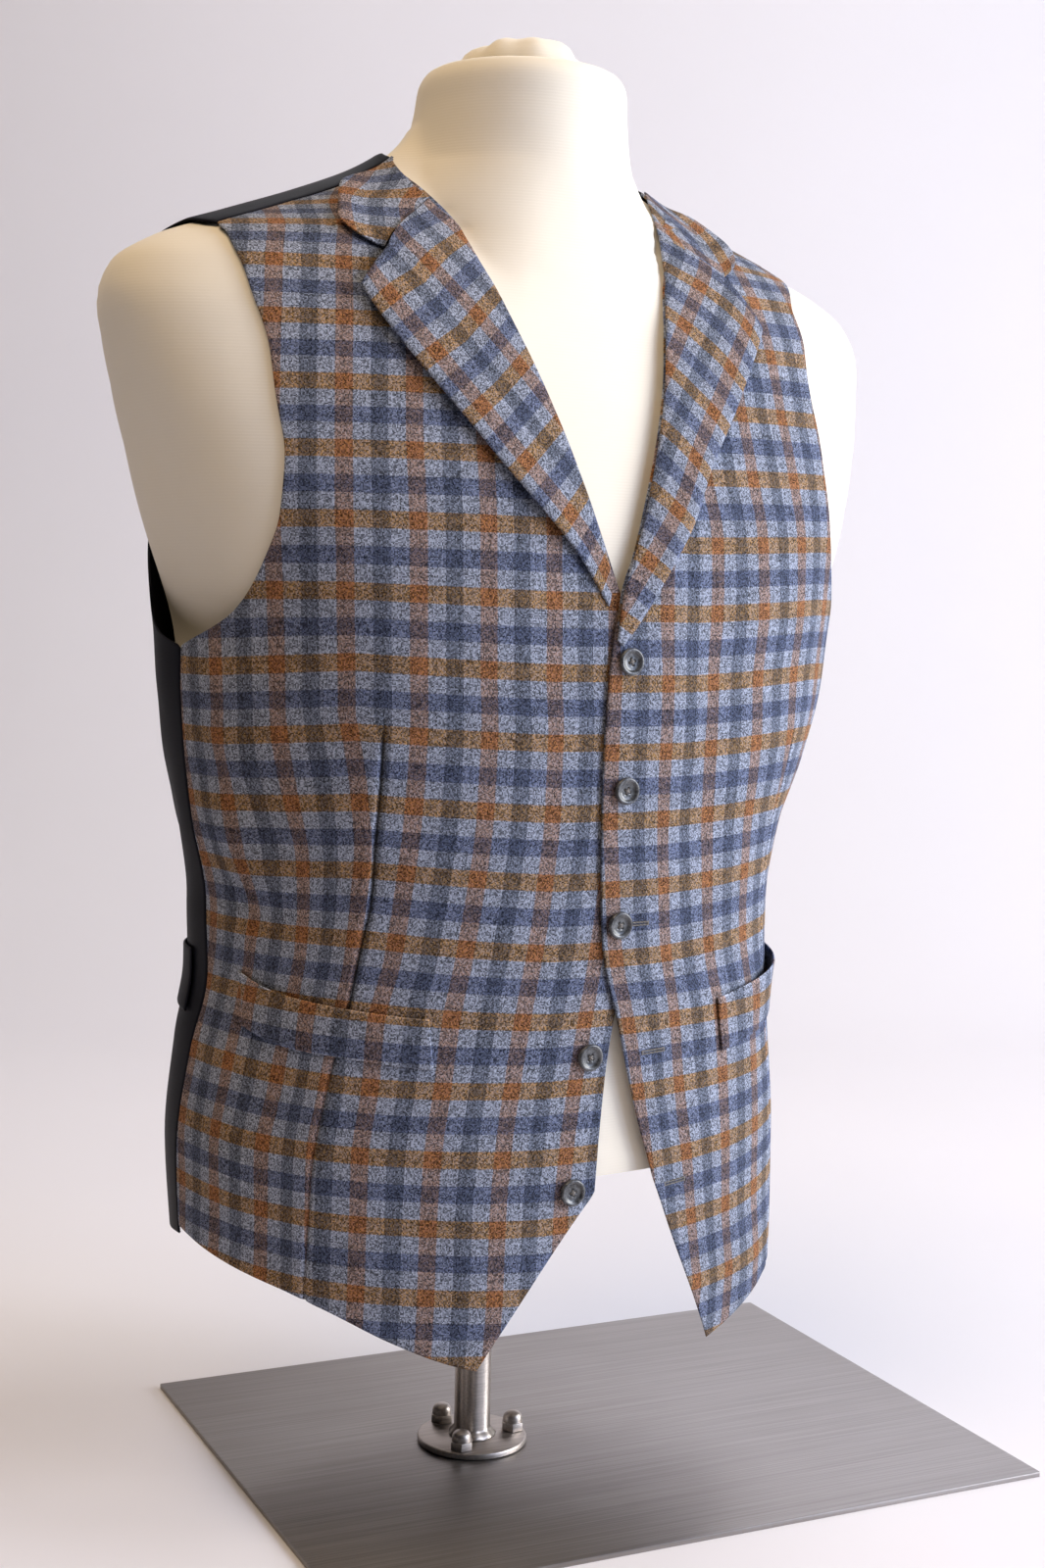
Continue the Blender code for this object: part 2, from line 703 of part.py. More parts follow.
def build_buttons(horn):
    for number, (side, angle, height) in enumerate(BUTTONS, start=1):
        seat = GAP + (WRAP_LIFT if side == 0 else 0.0)
        centre, across, up, out = frame_at(side * angle, height, seat)
        rings = []
        for share, rise in BUTTON_SECTION:
            ring = []
            for k in range(BUTTON_SEGMENTS):
                turn = 2 * math.pi * k / BUTTON_SEGMENTS
                flat = across * math.cos(turn) + up * math.sin(turn)
                ring.append(centre + flat * share * BUTTON_RADIUS + out * rise)
            rings.append(ring)
        loft(f"button_{number}", rings, horn)


def strap_places(start, end, columns):
    """Chart places of a back strap, tapering from the side seam to the buckle."""
    places = []
    for r in (0.0, 0.5, 1.0):
        row = []
        for c in range(columns + 1):
            angle = start + (end - start) * c / columns
            narrowed = smooth_step(start, STRAP_TAPER_END, angle)
            wide = STRAP_WIDE + (STRAP_NARROW - STRAP_WIDE) * narrowed
            row.append(np.array((angle, STRAP_HEIGHT + wide * (r - 0.5))))
        places.append(row)
    return places


def build_straps(satin, steel):
    right = strap_places(STRAP_START, STRAP_RIGHT_END, STRAP_RIGHT_COLUMNS)
    sheet("strap_right", right, -1, lambda *place: STRAP_REST, CLOTH_WALL, satin)
    left = strap_places(STRAP_START, 360 - STRAP_TAIL_END, STRAP_LEFT_COLUMNS)

    def lift(angle, height, across, up):
        risen = smooth_step(*STRAP_TAIL_RISE, angle)
        return STRAP_REST + (STRAP_TAIL_LIFT - STRAP_REST) * risen

    sheet("strap_left", left, 1, lift, CLOTH_WALL, satin)

    centre, across, up, out = frame_at(180, STRAP_HEIGHT, BUCKLE_LIFT)
    edit = bmesh.new()
    loops = []
    for inset, rise in ((0, 0), (0, BUCKLE_THICK), (BUCKLE_BAR, BUCKLE_THICK), (BUCKLE_BAR, 0)):
        wide = BUCKLE_LENGTH / 2 - inset
        tall = BUCKLE_HEIGHT / 2 - inset
        corners = ((-wide, -tall), (wide, -tall), (wide, tall), (-wide, tall))
        loops.append([edit.verts.new(centre + across * x + up * z + out * rise) for x, z in corners])
    for near, far in zip(loops, loops[1:] + loops[:1]):
        for k in range(4):
            edit.faces.new((near[k], near[(k + 1) % 4], far[(k + 1) % 4], far[k]))
    add_object("strap_buckle", edit, steel)


# ------------------------------------------------------------------ dress form
def torso_reach(angle, height):
    """From the body's centre line to the torso's face, its arm caps cut flat."""
    sine = math.sin(angle)
    cosine = math.cos(angle)
    side = BODY_SIDE(height)
    if cosine > 0:
        depth = BODY_FRONT(height) + BODY_CENTRE_Y
    else:
        depth = BODY_BACK(height) - BODY_CENTRE_Y
    square = SQUARE(height)
    torso = (abs(sine / side) ** square + abs(cosine / depth) ** square) ** (-1 / square)
    reach = ARM_END(height) / max(abs(sine), 1e-6)
    return (torso**-ARM_BLEND + reach**-ARM_BLEND) ** (-1 / ARM_BLEND)


def neck_run(angle, height):
    """The soft line that the chest runs up to the neck in."""
    low, high = NECK_RUN
    step = high - low
    start = torso_reach(angle, low)
    end = neck_reach(angle, high)
    fall = (start - torso_reach(angle, low - SLOPE_BELOW)) * step / SLOPE_BELOW
    t = (height - low) / step
    return start + fall * t * (1 - t) ** 2 + (end - start) * t * t * (3 - 2 * t)


def form_radius(angle, height):
    """From the body's centre line to the form's face, the neck blended in."""
    if height < NECK_FOOT:
        plain = torso_reach(angle, height)
    elif height > BODY[-1][0]:
        plain = neck_reach(angle, height)
    else:
        plain = with_neck(torso_reach(angle, height), neck_reach(angle, height))
    if not NECK_RUN[0] < height < NECK_RUN[1]:
        return plain
    share = 1 - smooth_step(*NECK_RUN_SIDE, abs(math.sin(angle / 2)))
    return plain + (neck_run(angle, height) - plain) * share


FORM_SEGMENTS = 44
FORM_LEVELS = (
    0.198, 0.199, 0.220, 0.260, 0.300, 0.340, 0.370, 0.400, 0.430, 0.460, 0.490, 0.515,
    0.540, 0.565, 0.590, 0.612, 0.632, 0.648, 0.662, 0.674, 0.684, 0.692, 0.700, 0.708,
    0.716, 0.724, 0.733, 0.742, 0.751, 0.760, 0.770, 0.784, 0.797, 0.8045, 0.8080, 0.8095,
)


def build_form(jersey):
    rings = []
    for level in FORM_LEVELS:
        inset = FORM_EDGE if level == FORM_LEVELS[0] else 0.0
        ring = []
        for k in range(FORM_SEGMENTS):
            angle = 2 * math.pi * k / FORM_SEGMENTS
            radius = form_radius(angle, level) - inset
            across = radius * math.sin(angle)
            along = BODY_CENTRE_Y - radius * math.cos(angle)
            ring.append((across, along, level + PLATE_THICK))
        rings.append(ring)
    loft("form_body", rings, jersey)


def turned(name, centre, seat, section, segments, material):
    """A round solid about a vertical axis. Section rows are radius and height over the seat."""
    rings = []
    for radius, rise in section:
        ring = []
        for k in range(segments):
            turn = 2 * math.pi * k / segments
            ring.append((
                centre[0] + radius * math.cos(turn),
                centre[1] + radius * math.sin(turn),
                seat + rise,
            ))
        rings.append(ring)
    return loft(name, rings, material)


def build_neck_cap(jersey):
    seat = PLATE_THICK + NECK[-1][0] + GAP
    turned("form_neck_cap", (0.0, NECK[-1][2]), seat, CAP_SECTION, CAP_SEGMENTS, jersey)


def build_plate(steel):
    wide = PLATE_WIDTH / 2
    deep = PLATE_DEPTH / 2
    cosine = math.cos(PLATE_TURN)
    sine = math.sin(PLATE_TURN)
    section = (
        (PLATE_EDGE, 0.0),
        (0.0, PLATE_EDGE),
        (0.0, PLATE_THICK - PLATE_EDGE),
        (PLATE_EDGE, PLATE_THICK),
    )
    rings = []
    for inset, height in section:
        ring = []
        for x, y in ((-wide, -deep), (wide, -deep), (wide, deep), (-wide, deep)):
            x -= math.copysign(inset, x)
            y -= math.copysign(inset, y)
            ring.append((
                PLATE_CENTRE[0] + x * cosine - y * sine,
                PLATE_CENTRE[1] + x * sine + y * cosine,
                height,
            ))
        rings.append(ring)
    loft("stand_plate", rings, steel)


def build_stand(steel):
    build_plate(steel)
    flange_seat = PLATE_THICK + GAP
    turned("stand_flange", (0.0, 0.0), flange_seat, FLANGE_SECTION, FLANGE_SEGMENTS, steel)
    seat = flange_seat + FLANGE_THICK + GAP
    post_top = PLATE_THICK + FORM_BOTTOM - GAP - seat
    post = POST_FOOT + ((POST_RADIUS, post_top),)
    turned("stand_post", (0.0, 0.0), seat, post, POST_SEGMENTS, steel)
    for number, degrees in enumerate(NUT_TURNS, start=1):
        turn = math.radians(degrees)
        centre = (NUT_CIRCLE * math.cos(turn), NUT_CIRCLE * math.sin(turn))
        build_nut(f"stand_nut_{number}", centre, seat, steel)


def build_nut(name, centre, seat, steel):
    """A hexagon that turns into a dome."""
    rings = []
    for hexed, share, rise in NUT_SECTION:
        ring = []
        for k in range(12):
            turn = math.pi * k / 6
            corner = 1 / math.cos(math.pi / 6) if k % 2 else 1.0
            reach = share * NUT_FLATS / 2 * (1 + hexed * (corner - 1))
            ring.append((
                centre[0] + reach * math.cos(turn),
                centre[1] + reach * math.sin(turn),
                seat + rise,
            ))
        rings.append(ring)
    loft(name, rings, steel)


clear_scene()
WOOL = finish("wool_check", (0.20, 0.22, 0.27), 0.85)
SATIN = finish("dark_satin", (0.012, 0.013, 0.02), 0.38)
HORN = finish("horn_grey", (0.05, 0.055, 0.06), 0.25)
JERSEY = finish("cream_jersey", (0.78, 0.70, 0.56), 0.8)
STEEL = finish("brushed_steel", (0.42, 0.41, 0.40), 0.35, 1.0)
build_fronts(WOOL)
build_back(SATIN)
build_lapels(WOOL)
build_collars(WOOL)
build_welts(WOOL)
build_buttons(HORN)
build_straps(SATIN, STEEL)
build_form(JERSEY)
build_neck_cap(JERSEY)
build_stand(STEEL)
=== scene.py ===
"""The looks of a suit waistcoat worn by a limbless dress form on a steel stand.

Metres, +Z up. The front faces -Y and the wearer's right is at -X. Heights in the
tables are taken above the top of the base plate. Angles go round the body from the
centre front, and each side has its own: 0 is the front, 90 the side, 180 the back.
"""

import math

import bmesh
import bpy
import numpy as np
from mathutils import Matrix, Vector


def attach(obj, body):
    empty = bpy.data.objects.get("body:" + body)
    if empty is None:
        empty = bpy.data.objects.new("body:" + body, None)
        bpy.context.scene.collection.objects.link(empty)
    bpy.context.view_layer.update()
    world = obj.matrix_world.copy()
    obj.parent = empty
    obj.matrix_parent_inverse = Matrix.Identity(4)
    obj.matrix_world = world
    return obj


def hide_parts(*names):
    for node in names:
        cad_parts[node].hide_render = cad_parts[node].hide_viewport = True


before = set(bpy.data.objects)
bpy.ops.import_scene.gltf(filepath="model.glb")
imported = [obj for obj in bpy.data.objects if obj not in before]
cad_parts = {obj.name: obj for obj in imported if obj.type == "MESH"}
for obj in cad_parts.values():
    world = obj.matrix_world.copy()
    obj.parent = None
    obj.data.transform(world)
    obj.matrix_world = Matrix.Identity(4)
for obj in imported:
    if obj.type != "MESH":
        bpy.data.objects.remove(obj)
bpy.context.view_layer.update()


# ------------------------------------------------------------------ dress form
# A padded torso without limbs, covered in a tight cream jersey with fine ribs that
# run round it. Its arm ends are flat and the neck ends in a soft rim.
PLATE_THICK = 0.003
BODY_CENTRE_Y = -0.012
FORM_BOTTOM = 0.198
NECK_BLEND = 8
# At the front the chest runs softly up into the neck between these heights,
# less and less between these sines of half the angle.
NECK_RUN = (0.650, 0.772)
NECK_RUN_SIDE = (0.20, 0.40)
NECK_FOOT = 0.690
NECK_FADE = 0.045
# The chest's slope is taken over this much height.
FALL_STEP = 0.005
ARM_BLEND = 24
BODY = (
    # height, side, front, back
    (0.060, 0.168, 0.128, 0.116),
    (0.140, 0.170, 0.134, 0.117),
    (0.200, 0.171, 0.136, 0.118),
    (0.260, 0.165, 0.137, 0.113),
    (0.300, 0.161, 0.138, 0.110),
    (0.340, 0.160, 0.140, 0.109),
    (0.380, 0.167, 0.142, 0.109),
    (0.420, 0.184, 0.1435, 0.110),
    (0.460, 0.197, 0.145, 0.111),
    (0.500, 0.203, 0.144, 0.111),
    (0.540, 0.2200, 0.140, 0.109),
    (0.580, 0.2370, 0.1325, 0.1065),
    (0.620, 0.2480, 0.1215, 0.1035),
    (0.660, 0.2515, 0.106, 0.099),
    (0.685, 0.2395, 0.0915, 0.0935),
    (0.700, 0.2165, 0.081, 0.087),
    (0.715, 0.1760, 0.069, 0.079),
    (0.730, 0.1350, 0.057, 0.071),
    (0.745, 0.0990, 0.043, 0.063),
    (0.760, 0.0715, 0.030, 0.056),
    (0.775, 0.0500, 0.020, 0.045),
)
SQUARENESS = (
    # height, exponent
    (0.060, 2.25),
    (0.500, 2.30),
    (0.580, 2.20),
    (0.660, 2.05),
    (0.775, 2.00),
)
NECK = (
    # height, radius, centre
    (0.690, 0.0800, -0.0160),
    (0.745, 0.0700, -0.0165),
    (0.765, 0.0645, -0.0190),
    (0.785, 0.0610, -0.0220),
    (0.7985, 0.0595, -0.0235),
    (0.8055, 0.0560, -0.0240),
    (0.8085, 0.0510, -0.0240),
    (0.8095, 0.0440, -0.0240),
)
ARM_ENDS = (
    # height, distance
    (0.440, 0.2300),
    (0.460, 0.1950),
    (0.480, 0.1860),
    (0.520, 0.1970),
    (0.550, 0.2070),
    (0.590, 0.2180),
    (0.620, 0.2285),
    (0.660, 0.2450),
    (0.700, 0.2640),
)


class Column:
    """One column of a table, read smoothly between its rows."""

    def __init__(self, rows, column):
        self.places = np.array([row[0] for row in rows])
        self.values = np.array([row[column] for row in rows])
        steps = np.diff(self.places)
        slopes = np.diff(self.values) / steps
        self.slopes = np.concatenate((slopes[:1], np.zeros(len(steps) - 1), slopes[-1:]))
        for k in range(1, len(steps)):
            if slopes[k - 1] * slopes[k] > 0:
                before = 2 * steps[k] + steps[k - 1]
                after = steps[k] + 2 * steps[k - 1]
                self.slopes[k] = (before + after) / (before / slopes[k - 1] + after / slopes[k])

    def __call__(self, place):
        place = np.clip(place, self.places[0], self.places[-1])
        k = np.searchsorted(self.places, place, side="right") - 1
        k = np.clip(k, 0, len(self.places) - 2)
        step = self.places[k + 1] - self.places[k]
        t = (place - self.places[k]) / step
        rise = self.values[k + 1] - self.values[k]
        start = self.slopes[k] * step
        end = self.slopes[k + 1] * step
        bend = start + end - 2 * rise
        return self.values[k] + t * (start + t * (3 * rise - 2 * start - end + t * bend))


def smooth_step(low, high, value):
    t = np.clip((value - low) / (high - low), 0.0, 1.0)
    return t * t * (3 - 2 * t)


BODY_SIDE = Column(BODY, 1)
BODY_FRONT = Column(BODY, 2)
BODY_BACK = Column(BODY, 3)
SQUARE = Column(SQUARENESS, 1)
NECK_RADIUS = Column(NECK, 1)
NECK_CENTRE = Column(NECK, 2)
ARM_END = Column(ARM_ENDS, 1)


def neck_reach(angle, height):
    """From the body's centre line to the neck's face, nothing below the neck's foot."""
    offset = NECK_CENTRE(height) - BODY_CENTRE_Y
    sideways = offset * np.sin(angle)
    reach = -offset * np.cos(angle) + np.sqrt(NECK_RADIUS(height) ** 2 - sideways**2)
    return reach * smooth_step(NECK_FOOT, NECK_FOOT + NECK_FADE, height)


def torso_reach(angle, height):
    """From the body's centre line to the torso's face."""
    sine = np.sin(angle)
    cosine = np.cos(angle)
    before = BODY_FRONT(height) + BODY_CENTRE_Y
    behind = BODY_BACK(height) - BODY_CENTRE_Y
    depth = np.where(cosine > 0, before, behind)
    square = SQUARE(height)
    torso = abs(sine / BODY_SIDE(height)) ** square + abs(cosine / depth) ** square
    torso = torso ** (-1 / square)
    reach = ARM_END(height) / np.maximum(abs(sine), 1e-6)
    return (torso**-ARM_BLEND + reach**-ARM_BLEND) ** (-1 / ARM_BLEND)


def form_radius(angle, height):
    """From the body's centre line to the form's face, the neck blended in."""
    torso = torso_reach(angle, height)
    neck = neck_reach(angle, height)
    blended = (torso**NECK_BLEND + neck**NECK_BLEND) ** (1 / NECK_BLEND)
    above = np.where(height > BODY[-1][0], neck, blended)
    plain = np.where(height < NECK_FOOT, torso, above)
    low, high = NECK_RUN
    step = high - low
    start = torso_reach(angle, np.array(low))
    end = neck_reach(angle, np.array(high))
    fall = (start - torso_reach(angle, np.array(low - FALL_STEP))) * step / FALL_STEP
    t = np.clip((height - low) / step, 0.0, 1.0)
    swept = start + fall * t * (1 - t) ** 2 + (end - start) * t * t * (3 - 2 * t)
    share = 1 - smooth_step(*NECK_RUN_SIDE, abs(np.sin(angle / 2)))
    share = share * ((height > low) & (height < high))
    return plain + (swept - plain) * share


class Shade:
    """A number that changes over a surface. Arithmetic on it adds Math nodes."""

    def __init__(self, finish, socket):
        self.finish = finish
        self.socket = socket

    def math(self, operation, *values):
        made = self.finish.node("ShaderNodeMath", dict(enumerate(values)), operation=operation)
        return Shade(self.finish, made.outputs[0])

    def __add__(self, other):
        return self.math("ADD", self, other)

    __radd__ = __add__

    def __mul__(self, other):
        return self.math("MULTIPLY", self, other)

    __rmul__ = __mul__

    def __sub__(self, other):
        return self.math("SUBTRACT", self, other)

    def __rsub__(self, other):
        return self.math("SUBTRACT", other, self)

    def floor(self):
        return self.math("FLOOR", self)

    def fraction(self):
        return self.math("FRACT", self)

    def absolute(self):
        return self.math("ABSOLUTE", self)

    def pingpong(self, scale):
        return self.math("PINGPONG", self, scale)

    def over(self, limit):
        return self.math("GREATER_THAN", self, limit)

    def both(self, other):
        return self.math("MINIMUM", self, other)

    def step(self, low, high):
        """From 0 at low to 1 at high, smoothly."""
        made = self.finish.node(
            "ShaderNodeMapRange",
            {"Value": self, "From Min": low, "From Max": high},
            interpolation_type="SMOOTHSTEP",
        )
        return Shade(self.finish, made.outputs["Result"])


class Finish:
    """A material built node by node round one Principled shader."""

    def __init__(self, name, **fixed):
        self.material = bpy.data.materials.new(name)
        self.material.use_nodes = True
        self.nodes = self.material.node_tree.nodes
        self.links = self.material.node_tree.links
        self.shader = self.nodes["Principled BSDF"]
        for socket, value in fixed.items():
            self.shader.inputs[socket.replace("_", " ")].default_value = value

    def node(self, kind, sockets=(), **settings):
        """A node of that kind: its settings first, then values or links of its sockets."""
        made = self.nodes.new(kind)
        for name, value in settings.items():
            setattr(made, name, value)
        for name, value in dict(sockets).items():
            self.join(value, made.inputs[name])
        return made

    def join(self, value, socket):
        if isinstance(value, Shade):
            self.links.new(value.socket, socket)
        elif isinstance(value, bpy.types.NodeSocket):
            self.links.new(value, socket)
        elif isinstance(value, tuple) and len(value) == 3 and socket.type == "RGBA":
            socket.default_value = (*value, 1.0)
        else:
            socket.default_value = value

    def split(self, vector):
        """The three numbers of a vector."""
        made = self.node("ShaderNodeSeparateXYZ", {"Vector": vector})
        return [Shade(self, made.outputs[k]) for k in range(3)]

    def vector(self, x, y, z):
        return self.node("ShaderNodeCombineXYZ", {"X": x, "Y": y, "Z": z}).outputs[0]

    def place(self):
        """The place on the object itself."""
        return self.node("ShaderNodeTexCoord").outputs["Object"]

    def map(self, name):
        return self.node("ShaderNodeUVMap", uv_map=name).outputs["UV"]

    def noise(self, vector, scale, detail=2.0, roughness=0.5):
        made = self.node(
            "ShaderNodeTexNoise",
            {"Vector": vector, "Scale": scale, "Detail": detail, "Roughness": roughness},
        )
        return Shade(self, made.outputs["Fac"])

    def white(self, vector):
        """A number at random for each place."""
        made = self.node("ShaderNodeTexWhiteNoise", {"Vector": vector}, noise_dimensions="3D")
        return Shade(self, made.outputs["Value"])

    def mix(self, share, first, second, blend_type="MIX"):
        """Two colours mixed: all first at 0, all second at 1."""
        made = self.node("ShaderNodeMix", data_type="RGBA", blend_type=blend_type)
        self.join(share, made.inputs["Factor"])
        self.join(first, made.inputs[6])
        self.join(second, made.inputs[7])
        return made.outputs[2]

    def grey(self, value):
        """A number as a grey colour."""
        parts = {"Red": value, "Green": value, "Blue": value}
        return self.node("ShaderNodeCombineColor", parts).outputs[0]

    def bump(self, height, distance, strength=1.0):
        made = self.node(
            "ShaderNodeBump", {"Strength": strength, "Distance": distance, "Height": height}
        )
        self.links.new(made.outputs["Normal"], self.shader.inputs["Normal"])

    def use(self, socket, value):
        self.join(value, self.shader.inputs[socket])


def solid(name, edit, finish, bend=35):
    """A finished piece from a mesh edit, smooth except at corners sharper than bend."""
    mesh = bpy.data.meshes.new(name)
    edit.to_mesh(mesh)
    edit.free()
    mesh.materials.append(finish.material)
    mesh.shade_smooth()
    mesh.set_sharp_from_angle(angle=math.radians(bend))
    made = bpy.data.objects.new(name, mesh)
    bpy.context.collection.objects.link(made)
    return made


def belongs(piece, slot, *nodes):
    """Puts a piece on the garment's one body, in place of its CAD nodes."""
    if nodes:
        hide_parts(*nodes)
    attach(piece, "root")


def grid(columns, rows):
    """A flat grid and, for each of its points, the row and column that it has."""
    edit = bmesh.new()
    bmesh.ops.create_grid(edit, x_segments=columns, y_segments=rows, size=0.5)
    edit.verts.index_update()
    at = []
    for vertex in edit.verts:
        at.append((round((vertex.co.y + 0.5) * rows), round((vertex.co.x + 0.5) * columns)))
    return edit, at


FORM_TURNS = 144
# Rows of the form's skin, closer from the shoulders up.
FORM_ROWS = np.concatenate((
    np.linspace(FORM_BOTTOM, 0.68, 70)[:-1],
    np.linspace(0.68, 0.79, 44)[:-1],
    np.linspace(0.79, NECK[-1][0], 14),
))
# How far the skin draws in at its two lowest rows and its highest.
FORM_INSETS = (0.012, 0.0012, 0.006)
# The jersey is stretched over the hollows beside the throat, up to the neckline.
STRETCH = (
    # height, degrees from the front
    (0.688, 33.0), (0.700, 41.0), (0.710, 47.0), (0.720, 54.0), (0.733, 62.0), (0.752, 72.0),
)
STRETCH_CORE = 12.0
STRETCH_PULLS = 400
STRETCH_SOFTENS = 6

form_edit, form_at = grid(FORM_TURNS, len(FORM_ROWS) + 1)
form_turn = np.linspace(0, 2 * math.pi, FORM_TURNS + 1)
form_levels = np.concatenate((FORM_ROWS[:1], FORM_ROWS, FORM_ROWS[-1:]))
form_insets = np.zeros(len(form_levels))
form_insets[[0, 1, -1]] = FORM_INSETS
reach = form_radius(form_turn[None, :], form_levels[:, None]) - form_insets[:, None]
from_front = np.degrees(np.minimum(form_turn, 2 * math.pi - form_turn))[None, :]
row_heights = form_levels[:, None]
stretched = (row_heights > STRETCH[0][0]) & (row_heights < STRETCH[-1][0])
stretched = stretched & (from_front < np.interp(row_heights, *zip(*STRETCH)))
hollow = stretched & (from_front > STRETCH_CORE)
for loose, times in ((hollow, STRETCH_PULLS), (stretched, STRETCH_SOFTENS)):
    for _ in range(times):
        around = sum(np.roll(reach, step, axis) for axis in (0, 1) for step in (-1, 1)) / 4
        reach = np.where(loose, around, reach)
form_points = np.stack((
    -reach * np.sin(form_turn),
    BODY_CENTRE_Y - reach * np.cos(form_turn),
    np.repeat(row_heights + PLATE_THICK, FORM_TURNS + 1, axis=1),
), axis=-1)
for vertex, place in zip(form_edit.verts, form_at):
    vertex.co = form_points[place]
bmesh.ops.remove_doubles(form_edit, verts=form_edit.verts, dist=1e-6)
bmesh.ops.holes_fill(form_edit, edges=[e for e in form_edit.edges if e.is_boundary], sides=0)
bmesh.ops.recalc_face_normals(form_edit, faces=form_edit.faces)

JERSEY_CREAM = (0.86, 0.79, 0.66)
JERSEY_PALE = (0.91, 0.85, 0.74)
# Painted shade in the troughs between the ribs.
JERSEY_RIB_SHADE = (0.66, 0.57, 0.44)
# Half ribs to the metre.
RIBS = 1250

jersey = Finish("cream_jersey", Roughness=0.86, Sheen_Weight=0.25, Sheen_Roughness=0.5)
place = jersey.place()
x, y, z = jersey.split(place)
rib = (z * RIBS).pingpong(1.0)
patchy = jersey.noise(place, 14, 3)
thread = jersey.noise(jersey.vector(x * 900, y * 900, z * 3000), 1.0, 1)
cream = jersey.mix(patchy, JERSEY_CREAM, JERSEY_PALE)
# The ribs darken the cream a little: painted shade between them.
jersey.use("Base Color", jersey.mix(rib * 0.04, cream, JERSEY_RIB_SHADE))
jersey.bump(rib * 0.6 + thread * 0.4, 0.0002, 0.25)
belongs(solid("torso", form_edit, jersey), "cream_jersey", "form_body")

# The cap over the neck's rim: a shallow padded dome in the same jersey, gathered in folds.
CAP_SECTION = (
    (0.0, 0.0125), (0.0040, 0.0125), (0.0100, 0.01245), (0.0160, 0.0121), (0.0210, 0.0113),
    (0.0250, 0.0099), (0.0280, 0.0078), (0.0296, 0.0052), (0.0300, 0.0030), (0.0298, 0.0012),
    (0.0292, 0.0), (0.0, 0.0),
)
CAP_RADIUS = 0.030
CAP_GAP = 0.0003
CAP_SWELL = 0.16
CAP_RISE = 1.25
# How many folds go round, where they start and their share of the fold.
CAP_FOLDS = ((3, 0.8, 1.0), (5, 2.1, 0.7), (9, 0.0, 0.4))
CAP_FOLD_OUT = 0.045
CAP_FOLD_UP = 0.16
CAP_TILT = 0.06
CAP_TILT_TURN = 0.6


def turned(section, centre, steps, base):
    """A round solid: the section of radius and height is spun about an upright axis."""
    edit = bmesh.new()
    x, y = centre
    points = [edit.verts.new((x + radius, y, base + rise)) for radius, rise in section]
    line = [edit.edges.new(pair) for pair in zip(points, points[1:])]
    bmesh.ops.spin(
        edit, geom=points + line, cent=(x, y, 0), axis=(0, 0, 1), angle=2 * math.pi,
        steps=steps, use_merge=True,
    )
    bmesh.ops.remove_doubles(edit, verts=edit.verts, dist=1e-6)
    bmesh.ops.recalc_face_normals(edit, faces=edit.faces)
    return edit


cap_y = NECK[-1][2]
cap_base = PLATE_THICK + NECK[-1][0] + CAP_GAP
cap_edit = turned(CAP_SECTION, (0.0, cap_y), 96, cap_base)
for vertex in cap_edit.verts:
    across = vertex.co.x
    along = vertex.co.y - cap_y
    turn = math.atan2(along, across)
    out = min(math.hypot(across, along) / CAP_RADIUS, 1.0)
    fold = sum(share * math.sin(count * turn + start) for count, start, share in CAP_FOLDS)
    swell = 1 + out * (CAP_SWELL + CAP_FOLD_OUT * fold)
    stretch = CAP_RISE + CAP_FOLD_UP * out * fold - CAP_TILT * math.cos(turn - CAP_TILT_TURN)
    vertex.co.x = across * swell
    vertex.co.y = cap_y + along * swell
    vertex.co.z = cap_base + (vertex.co.z - cap_base) * stretch
belongs(solid("neck_cap", cap_edit, jersey), "cream_jersey", "form_neck_cap")

# ------------------------------------------------------------------ stand
# A brushed steel plate, a post on a flange, and three dome nuts that hold the flange.
PLATE_WIDTH = 0.446
PLATE_DEPTH = 0.333
PLATE_CENTRE = (0.072, -0.013)
PLATE_TURN = math.radians(-5.6)
STAND_GAP = 0.0003
FLANGE_THICK = 0.004
NUT_CIRCLE = 0.0259
NUT_TURNS = (-133.5, -13.5, 106.5)
NUT_FLATS = 0.0125
NUT_HEIGHT = 0.005
PLATE_CORNER = 0.0012
FINE_EDGE = 0.0004
# The weld at the post's foot: its lumps round it, and how far they stand out.
WELD_LUMPS = 9
WELD_HIGH = 0.0004
WELD_OUTSIDE = 0.0111

STEEL_DARK = (0.29, 0.275, 0.265)
STEEL_LIGHT = (0.43, 0.415, 0.405)
STEEL_CLOUD = (0.36, 0.345, 0.335)
# Painted shade towards the wearer's right, away from the window, and painted light towards the window.
PLATE_PAINTED_SHADE = (0.70, 0.67, 0.64)
PLATE_PAINTED_LIGHT = (1.12, 1.11, 1.13)
POST_CLEAR = (1.30, 1.22, 1.15)
# From this far left to this far right of the centre the plate goes over from painted shade to painted
# light.
PAINTED_LIGHT_RUN = (-0.20, 0.26)


